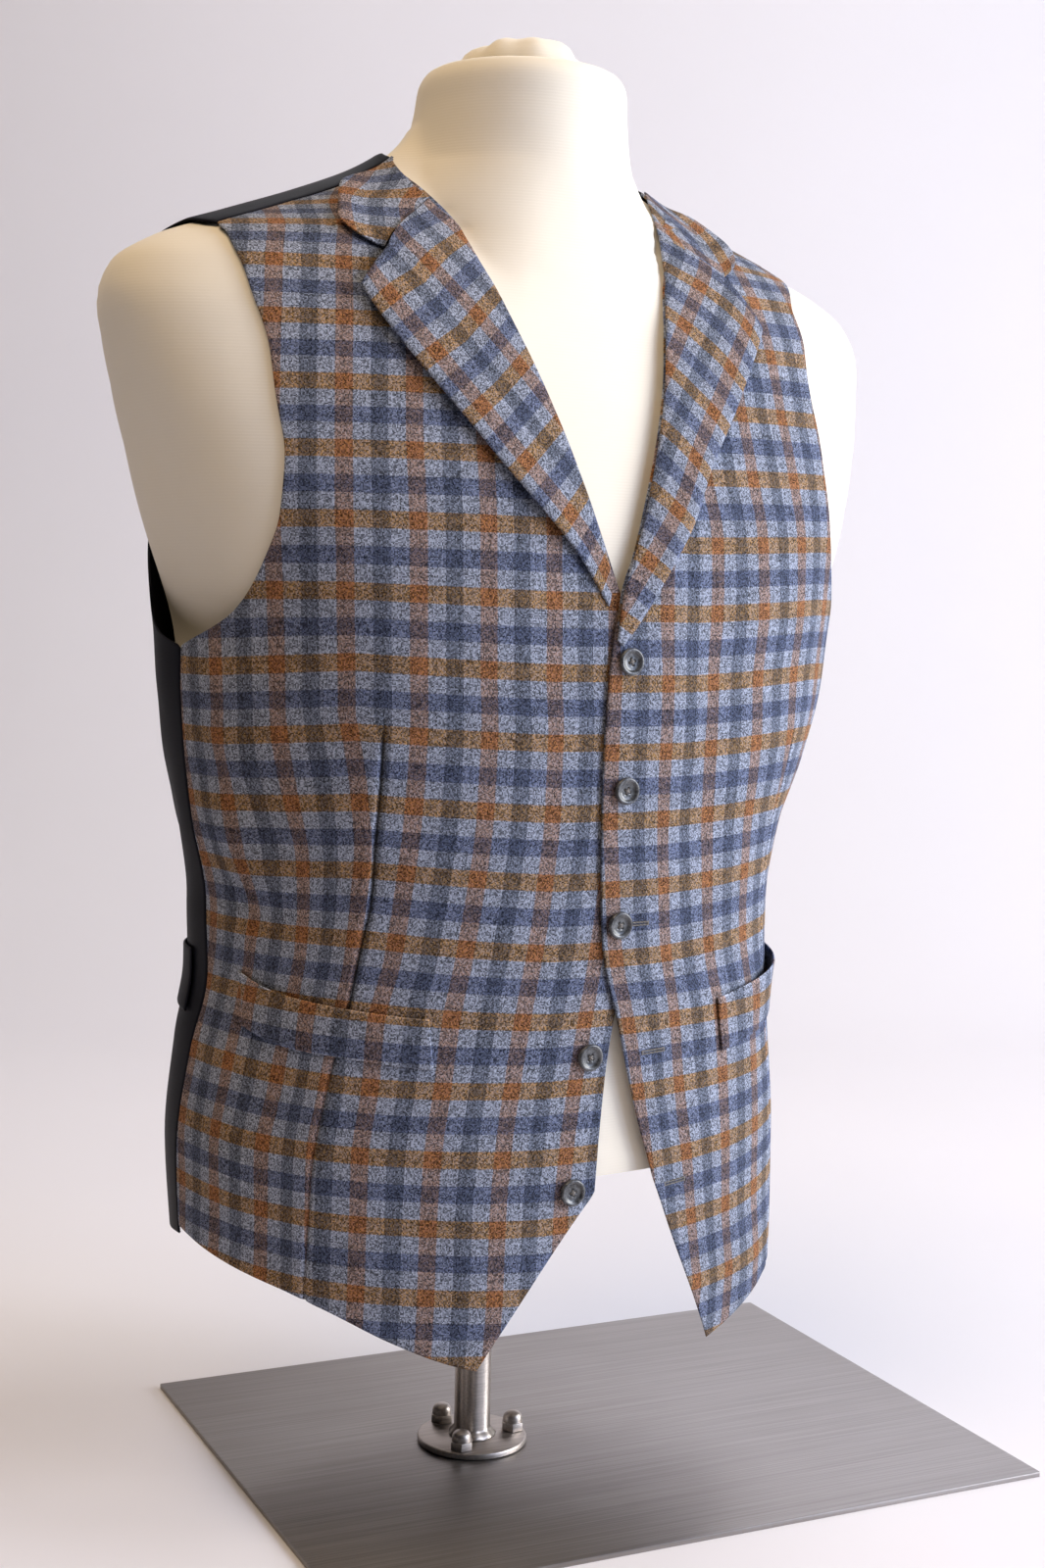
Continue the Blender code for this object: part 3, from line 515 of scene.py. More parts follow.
def brushed(name, near, far):
    """Steel with fine streaks along the plate, tinted from one colour near to one far: painted shade
    to painted light on the plate.
    """
    made = Finish(name, Metallic=1.0, Specular_IOR_Level=0.5)
    place = made.place()
    turning = {"Vector": place, "Rotation": (0, 0, -PLATE_TURN)}
    along, deep, up = made.split(made.node("ShaderNodeMapping", turning).outputs[0])
    streaks = made.noise(made.vector(along * 7, deep * 900, up * 900), 1.0, 4, 0.6)
    bands = made.noise(made.vector(along * 2.5, deep * 130, up * 130), 1.0, 3)
    cloudy = made.noise(place, 9, 3)
    colour = made.mix(streaks.step(0.3, 0.75), STEEL_DARK, STEEL_LIGHT)
    colour = made.mix(cloudy * 0.35, colour, STEEL_CLOUD)
    # The plate's painted shade and painted light, or the post's even tint, multiply the steel's
    # colour.
    tint_and_painted_light = made.mix((along + (cloudy - 0.5) * 0.2).step(*PAINTED_LIGHT_RUN), near, far)
    made.use("Base Color", made.mix(1.0, colour, tint_and_painted_light, "MULTIPLY"))
    made.use("Roughness", 0.30 + streaks * 0.16 + bands * 0.08)
    made.bump(streaks + bands * 0.5, 0.00006, 0.4)
    return made


plate_steel = brushed("plate_steel", PLATE_PAINTED_SHADE, PLATE_PAINTED_LIGHT)
steel = brushed("brushed_steel", POST_CLEAR, POST_CLEAR)


def box(width, depth, height):
    edit = bmesh.new()
    bmesh.ops.create_cube(edit, size=1.0)
    bmesh.ops.scale(edit, verts=edit.verts, vec=(width, depth, height))
    return edit


def bevelled(edit, edges, offset, segments):
    bmesh.ops.bevel(
        edit, geom=edges, offset=offset, segments=segments, profile=0.5, affect="EDGES", material=-1
    )


def rise_of(line):
    return abs(line.verts[0].co.z - line.verts[1].co.z)


plate_edit = box(PLATE_WIDTH, PLATE_DEPTH, PLATE_THICK)
bevelled(plate_edit, [e for e in plate_edit.edges if rise_of(e) > 0.001], PLATE_CORNER, 3)
bevelled(plate_edit, [e for e in plate_edit.edges if rise_of(e) < 0.0001], FINE_EDGE, 2)
bmesh.ops.rotate(plate_edit, verts=plate_edit.verts, matrix=Matrix.Rotation(PLATE_TURN, 3, "Z"))
bmesh.ops.translate(plate_edit, verts=plate_edit.verts, vec=(*PLATE_CENTRE, PLATE_THICK / 2))
belongs(solid("base_plate", plate_edit, plate_steel), "brushed_steel", "stand_plate")

flange_base = PLATE_THICK + STAND_GAP
FLANGE_SECTION = (
    (0.0, 0.0), (0.0325, 0.0), (0.0333, 0.0007), (0.0333, 0.0029), (0.0329, 0.0036),
    (0.0322, 0.0040), (0.0, 0.0040),
)
flange_edit = turned(FLANGE_SECTION, (0.0, 0.0), 96, flange_base)
belongs(solid("flange", flange_edit, steel), "brushed_steel", "stand_flange")

post_base = flange_base + FLANGE_THICK + STAND_GAP
post_top = PLATE_THICK + FORM_BOTTOM - STAND_GAP - post_base
POST_SECTION = (
    (0.0, 0.0), (0.0142, 0.0), (0.0143, 0.0006), (0.0138, 0.0016), (0.0126, 0.0028),
    (0.0117, 0.0037), (0.0112, 0.0044), (0.0110, 0.0052), (0.0110, post_top), (0.0, post_top),
)
post_edit = turned(POST_SECTION, (0.0, 0.0), 64, post_base)
for vertex in post_edit.verts:
    around = math.hypot(vertex.co.x, vertex.co.y)
    if around > WELD_OUTSIDE and vertex.co.z > post_base + 0.0001:
        lump = WELD_HIGH * math.sin(WELD_LUMPS * math.atan2(vertex.co.y, vertex.co.x))
        vertex.co.x *= 1 + lump / around
        vertex.co.y *= 1 + lump / around
belongs(solid("post", post_edit, steel), "brushed_steel", "stand_post")

NUT_DOME = (
    # radius, height over the nut's foot
    (0.00590, 0.0045), (0.00590, 0.0050), (0.00585, 0.0058), (0.00580, 0.0076), (0.00535, 0.0090),
    (0.00440, 0.0102), (0.00300, 0.0110), (0.00140, 0.01145), (0.0, 0.0115),
)
for number, degrees in enumerate(NUT_TURNS, start=1):
    turn = math.radians(degrees)
    centre = (NUT_CIRCLE * math.cos(turn), NUT_CIRCLE * math.sin(turn))
    nut_edit = bmesh.new()
    corner = NUT_FLATS / 2 / math.cos(math.pi / 6)
    bmesh.ops.create_circle(nut_edit, cap_ends=True, radius=corner, segments=6)
    bmesh.ops.rotate(nut_edit, verts=nut_edit.verts, matrix=Matrix.Rotation(math.pi / 6, 3, "Z"))
    walls = bmesh.ops.extrude_face_region(nut_edit, geom=nut_edit.faces[:])
    upper = [v for v in walls["geom"] if isinstance(v, bmesh.types.BMVert)]
    bmesh.ops.translate(nut_edit, verts=upper, vec=(0, 0, NUT_HEIGHT))
    bevelled(nut_edit, nut_edit.edges[:], FINE_EDGE, 2)
    dome = [nut_edit.verts.new((radius, 0, rise)) for radius, rise in NUT_DOME]
    line = [nut_edit.edges.new(pair) for pair in zip(dome, dome[1:])]
    bmesh.ops.spin(
        nut_edit, geom=dome + line, axis=(0, 0, 1), angle=2 * math.pi, steps=36, use_merge=True
    )
    bmesh.ops.remove_doubles(nut_edit, verts=nut_edit.verts, dist=1e-6)
    bmesh.ops.recalc_face_normals(nut_edit, faces=nut_edit.faces)
    bmesh.ops.translate(nut_edit, verts=nut_edit.verts, vec=(*centre, post_base))
    belongs(solid(f"nut_{number}", nut_edit, steel), "brushed_steel", f"stand_nut_{number}")

# ------------------------------------------------------------------ front, wearer's right
# The right front is cut from a wool check and faced. It carries two of the buttons, has
# a waist dart that runs on to the hem, and folds back at the neck as the lapel does.
FORM_RISE = 0.0022
NECK_EASE = 0.0038
CLOTH_WALL = 0.0013
EASE = (
    # height, right, left, front, back
    (0.060, 0.018, 0.014, 0.004, 0.006),
    (0.140, 0.021, 0.011, 0.005, 0.006),
    (0.200, 0.024, 0.008, 0.005, 0.007),
    (0.260, 0.025, 0.007, 0.005, 0.007),
    (0.300, 0.022, 0.006, 0.005, 0.006),
    (0.340, 0.024, 0.006, 0.004, 0.005),
    (0.380, 0.024, 0.006, 0.004, 0.004),
    (0.420, 0.014, 0.007, 0.0035, 0.004),
    (0.460, 0.007, 0.007, 0.003, 0.004),
    (0.500, 0.0045, 0.0075, 0.003, 0.004),
    (0.540, 0.003, 0.003, 0.003, 0.004),
    (0.620, 0.0025, 0.0025, 0.0025, 0.0035),
    (0.680, 0.0025, 0.0025, 0.0025, 0.0045),
    (0.775, 0.0025, 0.0025, 0.0025, 0.0030),
)
EASE_RIGHT = Column(EASE, 1)
EASE_LEFT = Column(EASE, 2)
EASE_FRONT = Column(EASE, 3)
EASE_BACK = Column(EASE, 4)
# Degrees between the two pieces at the side seam, and the shares of a front's two long
# edges at which they turn a corner.
SEAM_TURN = 0.11
CORNER_SHARE = 4 / 32
SIDE_SHARE = 0.5
# A row is a place on the cloth: its angle round the body in degrees and its height.
FRONT_EDGE_RIGHT = (
    ((19.9, 0.097), (1.3, 0.190)),
    ((1.3, 0.190), (0.9, 0.227), (-0.1, 0.281), (-2.2, 0.335),
     (-2.6, 0.410), (-2.4, 0.470), (0.8, 0.520)),
    ((0.8, 0.520), (2.6, 0.548), (6.2, 0.601), (10.7, 0.653),
     (13.5, 0.683), (18.9, 0.710), (33.0, 0.733), (64.5, 0.7545)),
)
SIDE_SEAM_RIGHT = (
    (94.4, 0.159), (93.0, 0.220), (89.5, 0.310),
    (90.0, 0.400), (86.0, 0.484),
)
ARMHOLE_FRONT_RIGHT = (
    (86.0, 0.484), (70.0, 0.500), (58.3, 0.526), (50.5, 0.555),
    (46.1, 0.595), (45.8, 0.635), (47.5, 0.665), (51.2, 0.685),
    (57.5, 0.698), (65.5, 0.7055),
)
HEM_FRONT_RIGHT = (
    (19.9, 0.097), (24.9, 0.102), (36.7, 0.117), (47.1, 0.131),
    (56.7, 0.141), (72.3, 0.150), (94.4, 0.159),
)
SHOULDER_RIGHT = (
    (64.5, 0.7545), (66.0, 0.746), (62.0, 0.733), (63.8, 0.719),
    (65.5, 0.7055),
)
# The dart's line from hem to above its point, where it is only a line of the weave.
DART_RIGHT = (
    # height, angle
    (0.090, 54.5), (0.147, 53.6), (0.182, 52.3), (0.226, 50.9), (0.269, 49.0),
    (0.298, 47.7), (0.354, 43.3), (0.416, 39.4), (0.448, 37.9), (0.560, 33.0), (0.760, 40.0),
)
# Where the stripes lie, in repeats of the check, at three places round the front. The
# warp's lines lean off the upright as the fronts fall open below the waist.
FRONT_STATIONS = (10.0, 26.0, 40.0)
WARP_RIGHT = (
    # height, at each station
    (0.139, -0.75, -0.79, -0.81), (0.180, -0.76, -0.80, -0.82),
    (0.215, -0.71, -0.77, -0.82), (0.255, -0.59, -0.65, -0.69),
    (0.290, -0.46, -0.55, -0.62), (0.328, -0.31, -0.38, -0.39),
    (0.366, -0.21, -0.26, -0.29), (0.400, -0.15, -0.19, -0.23),
    (0.440, -0.15, -0.17, -0.19), (0.475, -0.21, -0.20, -0.21),
    (0.515, -0.21, -0.21, -0.23), (0.552, -0.17, -0.19, -0.23),
    (0.587, -0.12, -0.18, -0.18), (0.621, -0.09, -0.09, -0.09), (0.656, 0.05, 0.05, 0.05),
    (0.686, 0.19, 0.19, 0.24), (0.707, 0.29, 0.29, 0.46),
)
# What the dart takes out of the warp beside its line and on towards the side.
DART_STATIONS = (47.0, 60.0, 76.0)
DART_TAKE_UP = (
    # height, at each station
    (0.147, 0.27, 0.52, 0.59), (0.183, 0.21, 0.52, 0.66), (0.220, 0.21, 0.53, 0.60),
    (0.258, 0.28, 0.60, 0.68), (0.297, 0.41, 0.69, 0.80), (0.334, 0.39, 0.65, 0.80),
    (0.372, 0.38, 0.55, 0.43), (0.408, 0.25, 0.24, 0.09), (0.440, 0.07, 0.03, -0.08),
    (0.452, 0.00, 0.00, -0.06),
)
FLANK_STATIONS = (10.0, 43.0, 76.0)
WEFT_RIGHT = (
    # height, at each station
    (0.136, 0.49, 0.32, 0.13), (0.178, 0.44, 0.28, 0.11), (0.214, 0.40, 0.27, 0.16),
    (0.253, 0.39, 0.28, 0.15), (0.289, 0.39, 0.21, 0.09), (0.325, 0.38, 0.17, 0.12),
    (0.365, 0.35, 0.15, 0.24), (0.400, 0.35, 0.18, 0.31), (0.439, 0.33, 0.19, 0.34),
    (0.475, 0.33, 0.21, 0.35), (0.515, 0.30, 0.22, 0.25), (0.553, 0.25, 0.19, 0.20),
    (0.589, 0.25, 0.19, 0.19), (0.622, 0.29, 0.24, 0.24), (0.657, 0.31, 0.30, 0.30),
    (0.686, 0.38, 0.39, 0.39), (0.707, 0.36, 0.33, 0.33),
)
REPEAT = 0.037


def cloth_point(angle, height):
    """Points of the cloth's face. Angles run past 180 on the right, the wearer's left positive."""
    body = height - FORM_RISE
    power = 2 / SQUARE(height)
    sine = np.sin(np.radians(angle))
    cosine = np.cos(np.radians(angle))
    ease = np.where(sine < 0, EASE_RIGHT(height), EASE_LEFT(height))
    across = (BODY_SIDE(body) + ease) * np.sign(sine) * abs(sine) ** power
    before = BODY_FRONT(body) + EASE_FRONT(height) + BODY_CENTRE_Y
    behind = BODY_BACK(body) + EASE_BACK(height) - BODY_CENTRE_Y
    along = np.where(cosine > 0, -before, behind) * abs(cosine) ** power
    radius = np.hypot(across, along)
    neck = neck_reach(np.arctan2(across, -along), body) + NECK_EASE
    widened = (radius**NECK_BLEND + neck**NECK_BLEND) ** (1 / NECK_BLEND) / radius
    widened = np.where(body > NECK_FOOT, widened, 1.0)
    height = height + np.zeros_like(across)
    return np.stack((across * widened, BODY_CENTRE_Y + along * widened, height + PLATE_THICK), axis=-1)


# The cloth's slope at a place is taken this far to each side, in degrees and metres.
SLOPE_TURN = 0.6
SLOPE_RISE = 0.0012


def cloth_normal(angle, height):
    across = cloth_point(angle + SLOPE_TURN, height) - cloth_point(angle - SLOPE_TURN, height)
    upward = cloth_point(angle, height + SLOPE_RISE) - cloth_point(angle, height - SLOPE_RISE)
    normal = np.cross(across, upward)
    return normal / np.linalg.norm(normal, axis=-1, keepdims=True)


def raised(points, side, places, lift):
    """Points of the cloth's face, moved out from it by their lift."""
    return points + cloth_normal(side * places[..., 0], places[..., 1]) * lift[..., None]


def edge(*runs, ends=(1.0,)):
    """Runs of rows joined at corners, as a function of the share of its length."""
    pieces = []
    start = 0.0
    for run, end in zip(runs, ends):
        rows = np.array(run)
        steps = np.linalg.norm(np.diff(cloth_point(-rows[:, 0], rows[:, 1]), axis=0), axis=1)
        places = np.concatenate(((0.0,), np.cumsum(steps)))
        shares = start + (end - start) * places / places[-1]
        table = [(share, *row) for share, row in zip(shares, run)]
        pieces.append((end, Column(table, 1), Column(table, 2)))
        start = end

    def at(share):
        share = np.asarray(share, dtype=float)
        found = np.stack((pieces[-1][1](share), pieces[-1][2](share)), axis=-1)
        for end, angle, height in pieces[-2::-1]:
            earlier = np.stack((angle(share), height(share)), axis=-1)
            found = np.where(share[..., None] <= end, earlier, found)
        return found

    return at


def patch(near, far, bottom, top, across, up, hold=3):
    """Places of a four-sided piece: near and far edges run up, bottom and top across."""
    u = across[None, :, None]
    v = up[:, None, None]
    places = (1 - u) * near(up)[:, None, :] + u * far(up)[:, None, :]
    top_bow = top(across)[None] - (1 - u) * near(1.0) - u * far(1.0)
    bottom_bow = bottom(across)[None] - (1 - u) * near(0.0) - u * far(0.0)
    return places + v**hold * top_bow + (1 - v) ** hold * bottom_bow


def spread(count, edge_share):
    """Shares from 0 to 1, even but for three close ones at both ends."""
    close = edge_share * (np.arange(1, 4) / 3) ** 1.5
    middle = np.linspace(edge_share, 1 - edge_share, count)[1:-1]
    return np.concatenate(((0.0,), close, middle, (1 - close)[::-1], (1.0,)))


def shifted(rows, turn):
    return tuple((angle + turn, height) for angle, height in rows)


def lengths(points, axis):
    """How far along a grid each point lies, in metres, from its first row or column."""
    steps = np.linalg.norm(np.diff(points, axis=axis), axis=-1)
    start = np.zeros_like(np.take(steps, [0], axis=axis))
    return np.concatenate((start, np.cumsum(steps, axis=axis)), axis=axis)


# The cloth's own chart: how far round from the centre front and how far up each place is.
# Its columns are half a degree apart, its rows 5 mm.
CHART_ANGLES = np.linspace(-200, 200, 801)
CHART_HEIGHTS = np.linspace(0.08, 0.77, 139)
CHART_STEPS = (0.5, 0.005)
CENTRE_COLUMN = 400
WAIST_ROW = 74
chart = cloth_point(*np.meshgrid(CHART_ANGLES, CHART_HEIGHTS))
chart_round = lengths(chart[..., :2], 1)
chart_round -= chart_round[:, [CENTRE_COLUMN]]
chart_up = lengths(chart, 0)
chart_up -= chart_up[[WAIST_ROW], :]


def on_chart(values, angle, height):
    """A chart's value at places, between its rows and columns."""
    column = np.clip((angle - CHART_ANGLES[0]) / CHART_STEPS[0], 0, len(CHART_ANGLES) - 1.001)
    row = np.clip((height - CHART_HEIGHTS[0]) / CHART_STEPS[1], 0, len(CHART_HEIGHTS) - 1.001)
    c = column.astype(int)
    r = row.astype(int)
    s = column - c
    t = row - r
    lower = values[r, c] * (1 - s) + values[r, c + 1] * s
    upper = values[r + 1, c] * (1 - s) + values[r + 1, c + 1] * s
    return lower * (1 - t) + upper * t


def dart_shares(places, dart, across):
    """Shares across each row, bent so that the middle column follows the dart's line."""
    found = []
    for row in places:
        crossing = float(np.interp(0.0, row[:, 0] - dart(row[:, 1]), across))
        before = across * crossing / 0.5
        beyond = crossing + (across - 0.5) * (1 - crossing) / 0.5
        found.append(np.where(across <= 0.5, before, beyond))
    return np.array(found)


def resampled(places, across, shares):
    """A grid of places read at other shares across, row by row."""
    made = np.empty_like(places)
    for k, row in enumerate(places):
        for axis in (0, 1):
            made[k, :, axis] = np.interp(shares[k], across, row[:, axis])
    return made


def ridge(off, width):
    """1 along a line and soft to 0 beside it."""
    return np.exp(-((off / width) ** 2))


# About how many metres a degree round the body is.
DEGREE = 0.0027


def creased(angle, height, rows):
    """Soft ridges and troughs along short lines on the cloth, in metres."""
    lift = np.zeros_like(angle)
    for start_angle, start_height, end_angle, end_height, depth, width in rows:
        run = np.array(((end_angle - start_angle) * DEGREE, end_height - start_height))
        x = (angle - start_angle) * DEGREE
        y = height - start_height
        length = math.hypot(*run)
        t = (x * run[0] + y * run[1]) / length**2
        off = (x * run[1] - y * run[0]) / length
        lift += depth * ridge(off, width) * np.clip(4 * t * (1 - t), 0, 1)
    return lift


def rolled(points, width=0.0016, drop=0.0007, edges=(1, 1, 1, 1)):
    """How far the cloth turns in along its near, far, bottom and top edges."""
    across = lengths(points, 1)
    up = lengths(points, 0)
    off = (across, across[:, -1:] - across, up, up[-1:, :] - up)
    fall = np.zeros(points.shape[:2])
    for distance, used in zip(off, edges):
        near = 1 - np.clip(distance / width, 0, 1)
        fall = np.maximum(fall, used * (1 - np.sqrt(1 - near**2)))
    return -drop * fall


def cloth(name, points, pattern, finish, thick, split=None, turn=False, painted_shading=0.0):
    """A sheet over an array of points. Pattern holds the check's two numbers at each.

    Split is a column where the pattern jumps by the numbers given for the far side.
    The last argument holds painted shade and painted highlight that darken or lighten the cloth along
    its sewn lines.
    """
    edit, at = grid(points.shape[1] - 1, points.shape[0] - 1)
    # The painted shade and highlight go into the seam attribute.
    sewn = edit.verts.layers.float.new("seam")
    painted_shading = np.broadcast_to(painted_shading, points.shape[:2])
    for vertex, place in zip(edit.verts, at):
        vertex.co = points[place]
        vertex[sewn] = painted_shading[place]
    layer = edit.loops.layers.uv.new("cloth")
    for face in edit.faces:
        beyond = split is not None and max(at[v.index][1] for v in face.verts) > split[0]
        for loop in face.loops:
            place = at[loop.vert.index]
            loop[layer].uv = pattern[place] + (split[1][place] if beyond else 0.0)
    if turn:
        bmesh.ops.reverse_faces(edit, faces=edit.faces)
    made = solid(name, edit, finish, 60)
    wall = made.modifiers.new("wall", "SOLIDIFY")
    wall.thickness = thick
    wall.offset = -1
    return made


WOOL_LIGHT = (0.232, 0.256, 0.322)
# What each stripe's yarn does to that light grey: rust and dark run up the warp, orange
# and navy across in the weft.
WARP_RUST = (0.95, 0.586, 0.390)
WARP_DARK = (0.450, 0.470, 0.505)
WEFT_ORANGE = (1.05, 0.560, 0.190)
WEFT_NAVY = (0.370, 0.410, 0.550)
UNDYED = (1.0, 1.0, 1.0)
YARNS = 56
TWILL_TURN = 14
BAND = 0.125
BAND_BLEND = 0.005
# How far the stripes' edges wander, in repeats, the share of crossings at which the warp
# lies under, and the share of the others where it strays under too.
WANDER = 0.02
WARP_UNDER = 0.45
STRAY = 0.20
# How much of a crossing shows one yarn alone, and what lights or darkens it: the yarns' speckle,
# partly their own uneven tone and partly painted highlights on single yarns and painted shade between
# them, thick and thin yarns, wear, and the painted shade where the warp lies on top.
ALONE_SHARE = 0.28
DARKEST = 0.16
SPECKLE_AND_GLINT = 1.75
UNEVEN = 0.16
WORN = 0.24
SHADED = 0.20


def wool(name):
    """The wool check: warp and weft yarns in bands, woven as a twill that turns in diamonds."""
    made = Finish(name, Roughness=0.9, Specular_IOR_Level=0.15, Sheen_Weight=0.02)
    uv = made.map("cloth")
    place = made.place()
    wander = (made.noise(uv, 9, 2) - 0.5) * WANDER
    u, v, _ = made.split(uv)
    # Bands of a quarter repeat each: coloured, light, dark, light.
    tints = []
    for share, strong, dark in ((u, WARP_RUST, WARP_DARK), (v, WEFT_ORANGE, WEFT_NAVY)):
        off = ((share + wander + 0.5).fraction() - 0.5).absolute()
        is_strong = 1 - off.step(BAND - BAND_BLEND, BAND + BAND_BLEND)
        is_dark = off.step(0.5 - BAND - BAND_BLEND, 0.5 - BAND + BAND_BLEND)
        tints.append(made.mix(is_dark, made.mix(is_strong, UNDYED, strong), dark))
    warp_yarn = (u * YARNS).floor()
    weft_yarn = (v * YARNS).floor()
    crossing = made.white(made.vector(warp_yarn, weft_yarn, 0.0))
    # A twill over four yarns that turns in diamonds, with faults here and there.
    broken = (made.noise(uv, 7, 2) * 9).floor()
    chevrons = warp_yarn.pingpong(TWILL_TURN) + weft_yarn.pingpong(TWILL_TURN) + broken
    on_top = (chevrons * 0.25).fraction().over(WARP_UNDER).both(crossing.over(STRAY))
    through = made.mix(1.0, tints[0], tints[1], "MULTIPLY")
    alone = made.mix(on_top, tints[1], tints[0])
    woven = made.mix(ALONE_SHARE, through, alone)
    uneven = made.white(made.vector(warp_yarn, 0.5, 0.0))
    uneven = uneven + made.white(made.vector(0.5, weft_yarn, 0.0))
    worn = made.noise(place, 40, 3)
    # The speckle carries painted highlights and shade on single yarns, and on_top carries painted
    # shade.
    light = DARKEST + crossing * SPECKLE_AND_GLINT + uneven * UNEVEN - worn * WORN - on_top * SHADED
    # Painted shade and painted highlight along sewn lines, read from each piece's seam attribute.
    seam = Shade(made, made.node("ShaderNodeAttribute", attribute_name="seam").outputs["Fac"])
    light = light * (1.0 + seam)
    woven = made.mix(1.0, woven, WOOL_LIGHT, "MULTIPLY")
    made.use("Base Color", made.mix(1.0, woven, made.grey(light), "MULTIPLY"))
    yarns = (u * YARNS).pingpong(0.5) + (v * YARNS).pingpong(0.5)
    made.bump(yarns * 0.5 + on_top * 0.5 + crossing * 0.5, 0.0002, 0.6)
    return made


check = wool("wool_check")

# Columns crowd at both edges and at the dart, which the middle column follows.
DART_COLUMNS = np.array((0.0012, 0.0026, 0.0044, 0.0070, 0.0110))
DART_CLEAR = 0.013
front_half = spread(119, 0.006)
front_half = front_half[front_half < 0.5 - DART_CLEAR]
FRONT_ACROSS = np.concatenate((
    front_half, 0.5 - DART_COLUMNS[::-1], (0.5,), 0.5 + DART_COLUMNS, 1 - front_half[::-1],
))
FRONT_UP = spread(211, 0.0035)
DART_COLUMN = len(FRONT_ACROSS) // 2
# A sewn line's groove and the swell beside it, each as depth and width.
DART_GROOVE = (0.0012, 0.0009)
DART_SWELL = (0.0006, 0.005)
# Painted shade in the dart's groove and painted highlight on its lip: strength, width and
# distance from the line; painted shade along the left front's edge: strength and width.
DART_PAINTED_SHADE = (0.80, 0.0009, 0.0002)
DART_PAINTED_HIGHLIGHT = (0.35, 0.0010, 0.0018)
EDGE_PAINTED_SHADE = (0.70, 0.0014)
# Heights over which the dart ends, its painted shade fades, and the left edge's painted
# shade begins and ends.
DART_END = (0.436, 0.452)
DART_SHADE_FADE = (0.262, 0.280)
# The share of the dart's painted shade that is left below the pocket.
DART_SHADE_LOW = 0.3
EDGE_SHADE_FROM = (0.25, 0.30)
EDGE_SHADE_TO = (0.505, 0.52)
CREASES_RIGHT = (
    # start angle, start height, end angle, end height, depth, width
    (86.0, 0.440, 58.0, 0.372, -0.0016, 0.010),
    (88.0, 0.405, 60.0, 0.352, 0.0014, 0.010),
    (89.0, 0.372, 62.0, 0.330, -0.0018, 0.009),
    (88.0, 0.338, 66.0, 0.322, 0.0012, 0.009),
    (30.0, 0.420, 8.0, 0.360, -0.0004, 0.016),
    (24.0, 0.330, 2.0, 0.345, 0.0005, 0.014),
    (70.0, 0.455, 80.0, 0.330, 0.0010, 0.020),
    (60.0, 0.235, 76.0, 0.170, 0.0012, 0.016),
    (34.0, 0.225, 30.0, 0.115, -0.0010, 0.018),
    (16.0, 0.230, 20.0, 0.115, 0.0007, 0.016),
    (80.0, 0.260, 88.0, 0.170, -0.0012, 0.014),
    (40.0, 0.600, 22.0, 0.520, -0.0005, 0.020),
    (44.0, 0.560, 30.0, 0.470, 0.0005, 0.018),
)


def front_shape(side, front, seam, armhole, hem, shoulder, dart, creases, wrap):
    """Places, points and painted shade and highlight of one front, its dart sunk in."""
    places = patch(
        edge(*front, ends=(CORNER_SHARE, SIDE_SHARE, 1.0)),
        edge(shifted(seam, -SEAM_TURN), shifted(armhole, -SEAM_TURN), ends=(SIDE_SHARE, 1.0)),
        edge(hem[:-1] + shifted(hem[-1:], -SEAM_TURN)),
        edge(shoulder),
        FRONT_ACROSS,
        FRONT_UP,
    )
    places = resampled(places, FRONT_ACROSS, dart_shares(places, dart, FRONT_ACROSS))
    angle, height = places[..., 0], places[..., 1]
    points = cloth_point(side * angle, height)
    across = lengths(points, 1)
    off = across - across[:, [DART_COLUMN]]
    sewn = 1 - smooth_step(*DART_END, height)
    swell = ridge(abs(off) - DART_SWELL[1], DART_SWELL[1])
    groove = -DART_GROOVE[0] * ridge(off, DART_GROOVE[1]) + DART_SWELL[0] * swell
    lift = groove * sewn + creased(angle, height, creases) + wrap(angle) + rolled(points)
    # Painted shade in the dart's groove and painted highlight on its lip, less of the shade below the
    # pocket.
    dark = -DART_PAINTED_SHADE[0] * ridge(off + DART_PAINTED_SHADE[2], DART_PAINTED_SHADE[1])
    light = DART_PAINTED_HIGHLIGHT[0] * ridge(off - DART_PAINTED_HIGHLIGHT[2], DART_PAINTED_HIGHLIGHT[1])
    kept = DART_SHADE_LOW + (1 - DART_SHADE_LOW) * smooth_step(*DART_SHADE_FADE, height)
    painted_shading = (dark * kept + light) * sewn
    # Painted shade along the left front's turned edge, where it laps over the right front.
    if side > 0:
        lapped = smooth_step(*EDGE_SHADE_FROM, height) * (1 - smooth_step(*EDGE_SHADE_TO, height))
        painted_shading = painted_shading - EDGE_PAINTED_SHADE[0] * ridge(across, EDGE_PAINTED_SHADE[1]) * lapped
    return places, raised(points, side, places, lift), painted_shading


def over_cloth(table, stations, places):
    """A table's value at places. Its columns stand at angles, and it is even between them."""
    angle = places[..., 0]
    values = [Column(table, k + 1)(places[..., 1]) for k in range(len(stations))]
    found = values[0]
    for k in range(1, len(stations)):
        share = np.clip((angle - stations[k - 1]) / (stations[k] - stations[k - 1]), 0, 1)
        found = found + (values[k] - values[k - 1]) * share
    return found


def pattern_on(places, side, warp, weft, stations=FRONT_STATIONS):
    """The check's two counts: whole numbers lie on the middle of a rust or orange stripe."""
    reach = on_chart(chart_round, side * places[..., 0], places[..., 1])
    climb = on_chart(chart_up, side * places[..., 0], places[..., 1])
    return np.stack((
        over_cloth(warp, stations, places) - reach / REPEAT,
        over_cloth(weft, FLANK_STATIONS, places) + climb / REPEAT,
    ), axis=-1)


def taken_up(places, side):
    """What the dart takes out of the pattern beyond its line."""
    taken = over_cloth(DART_TAKE_UP, DART_STATIONS, places)
    return np.stack((-side * taken, 0 * taken), axis=-1)


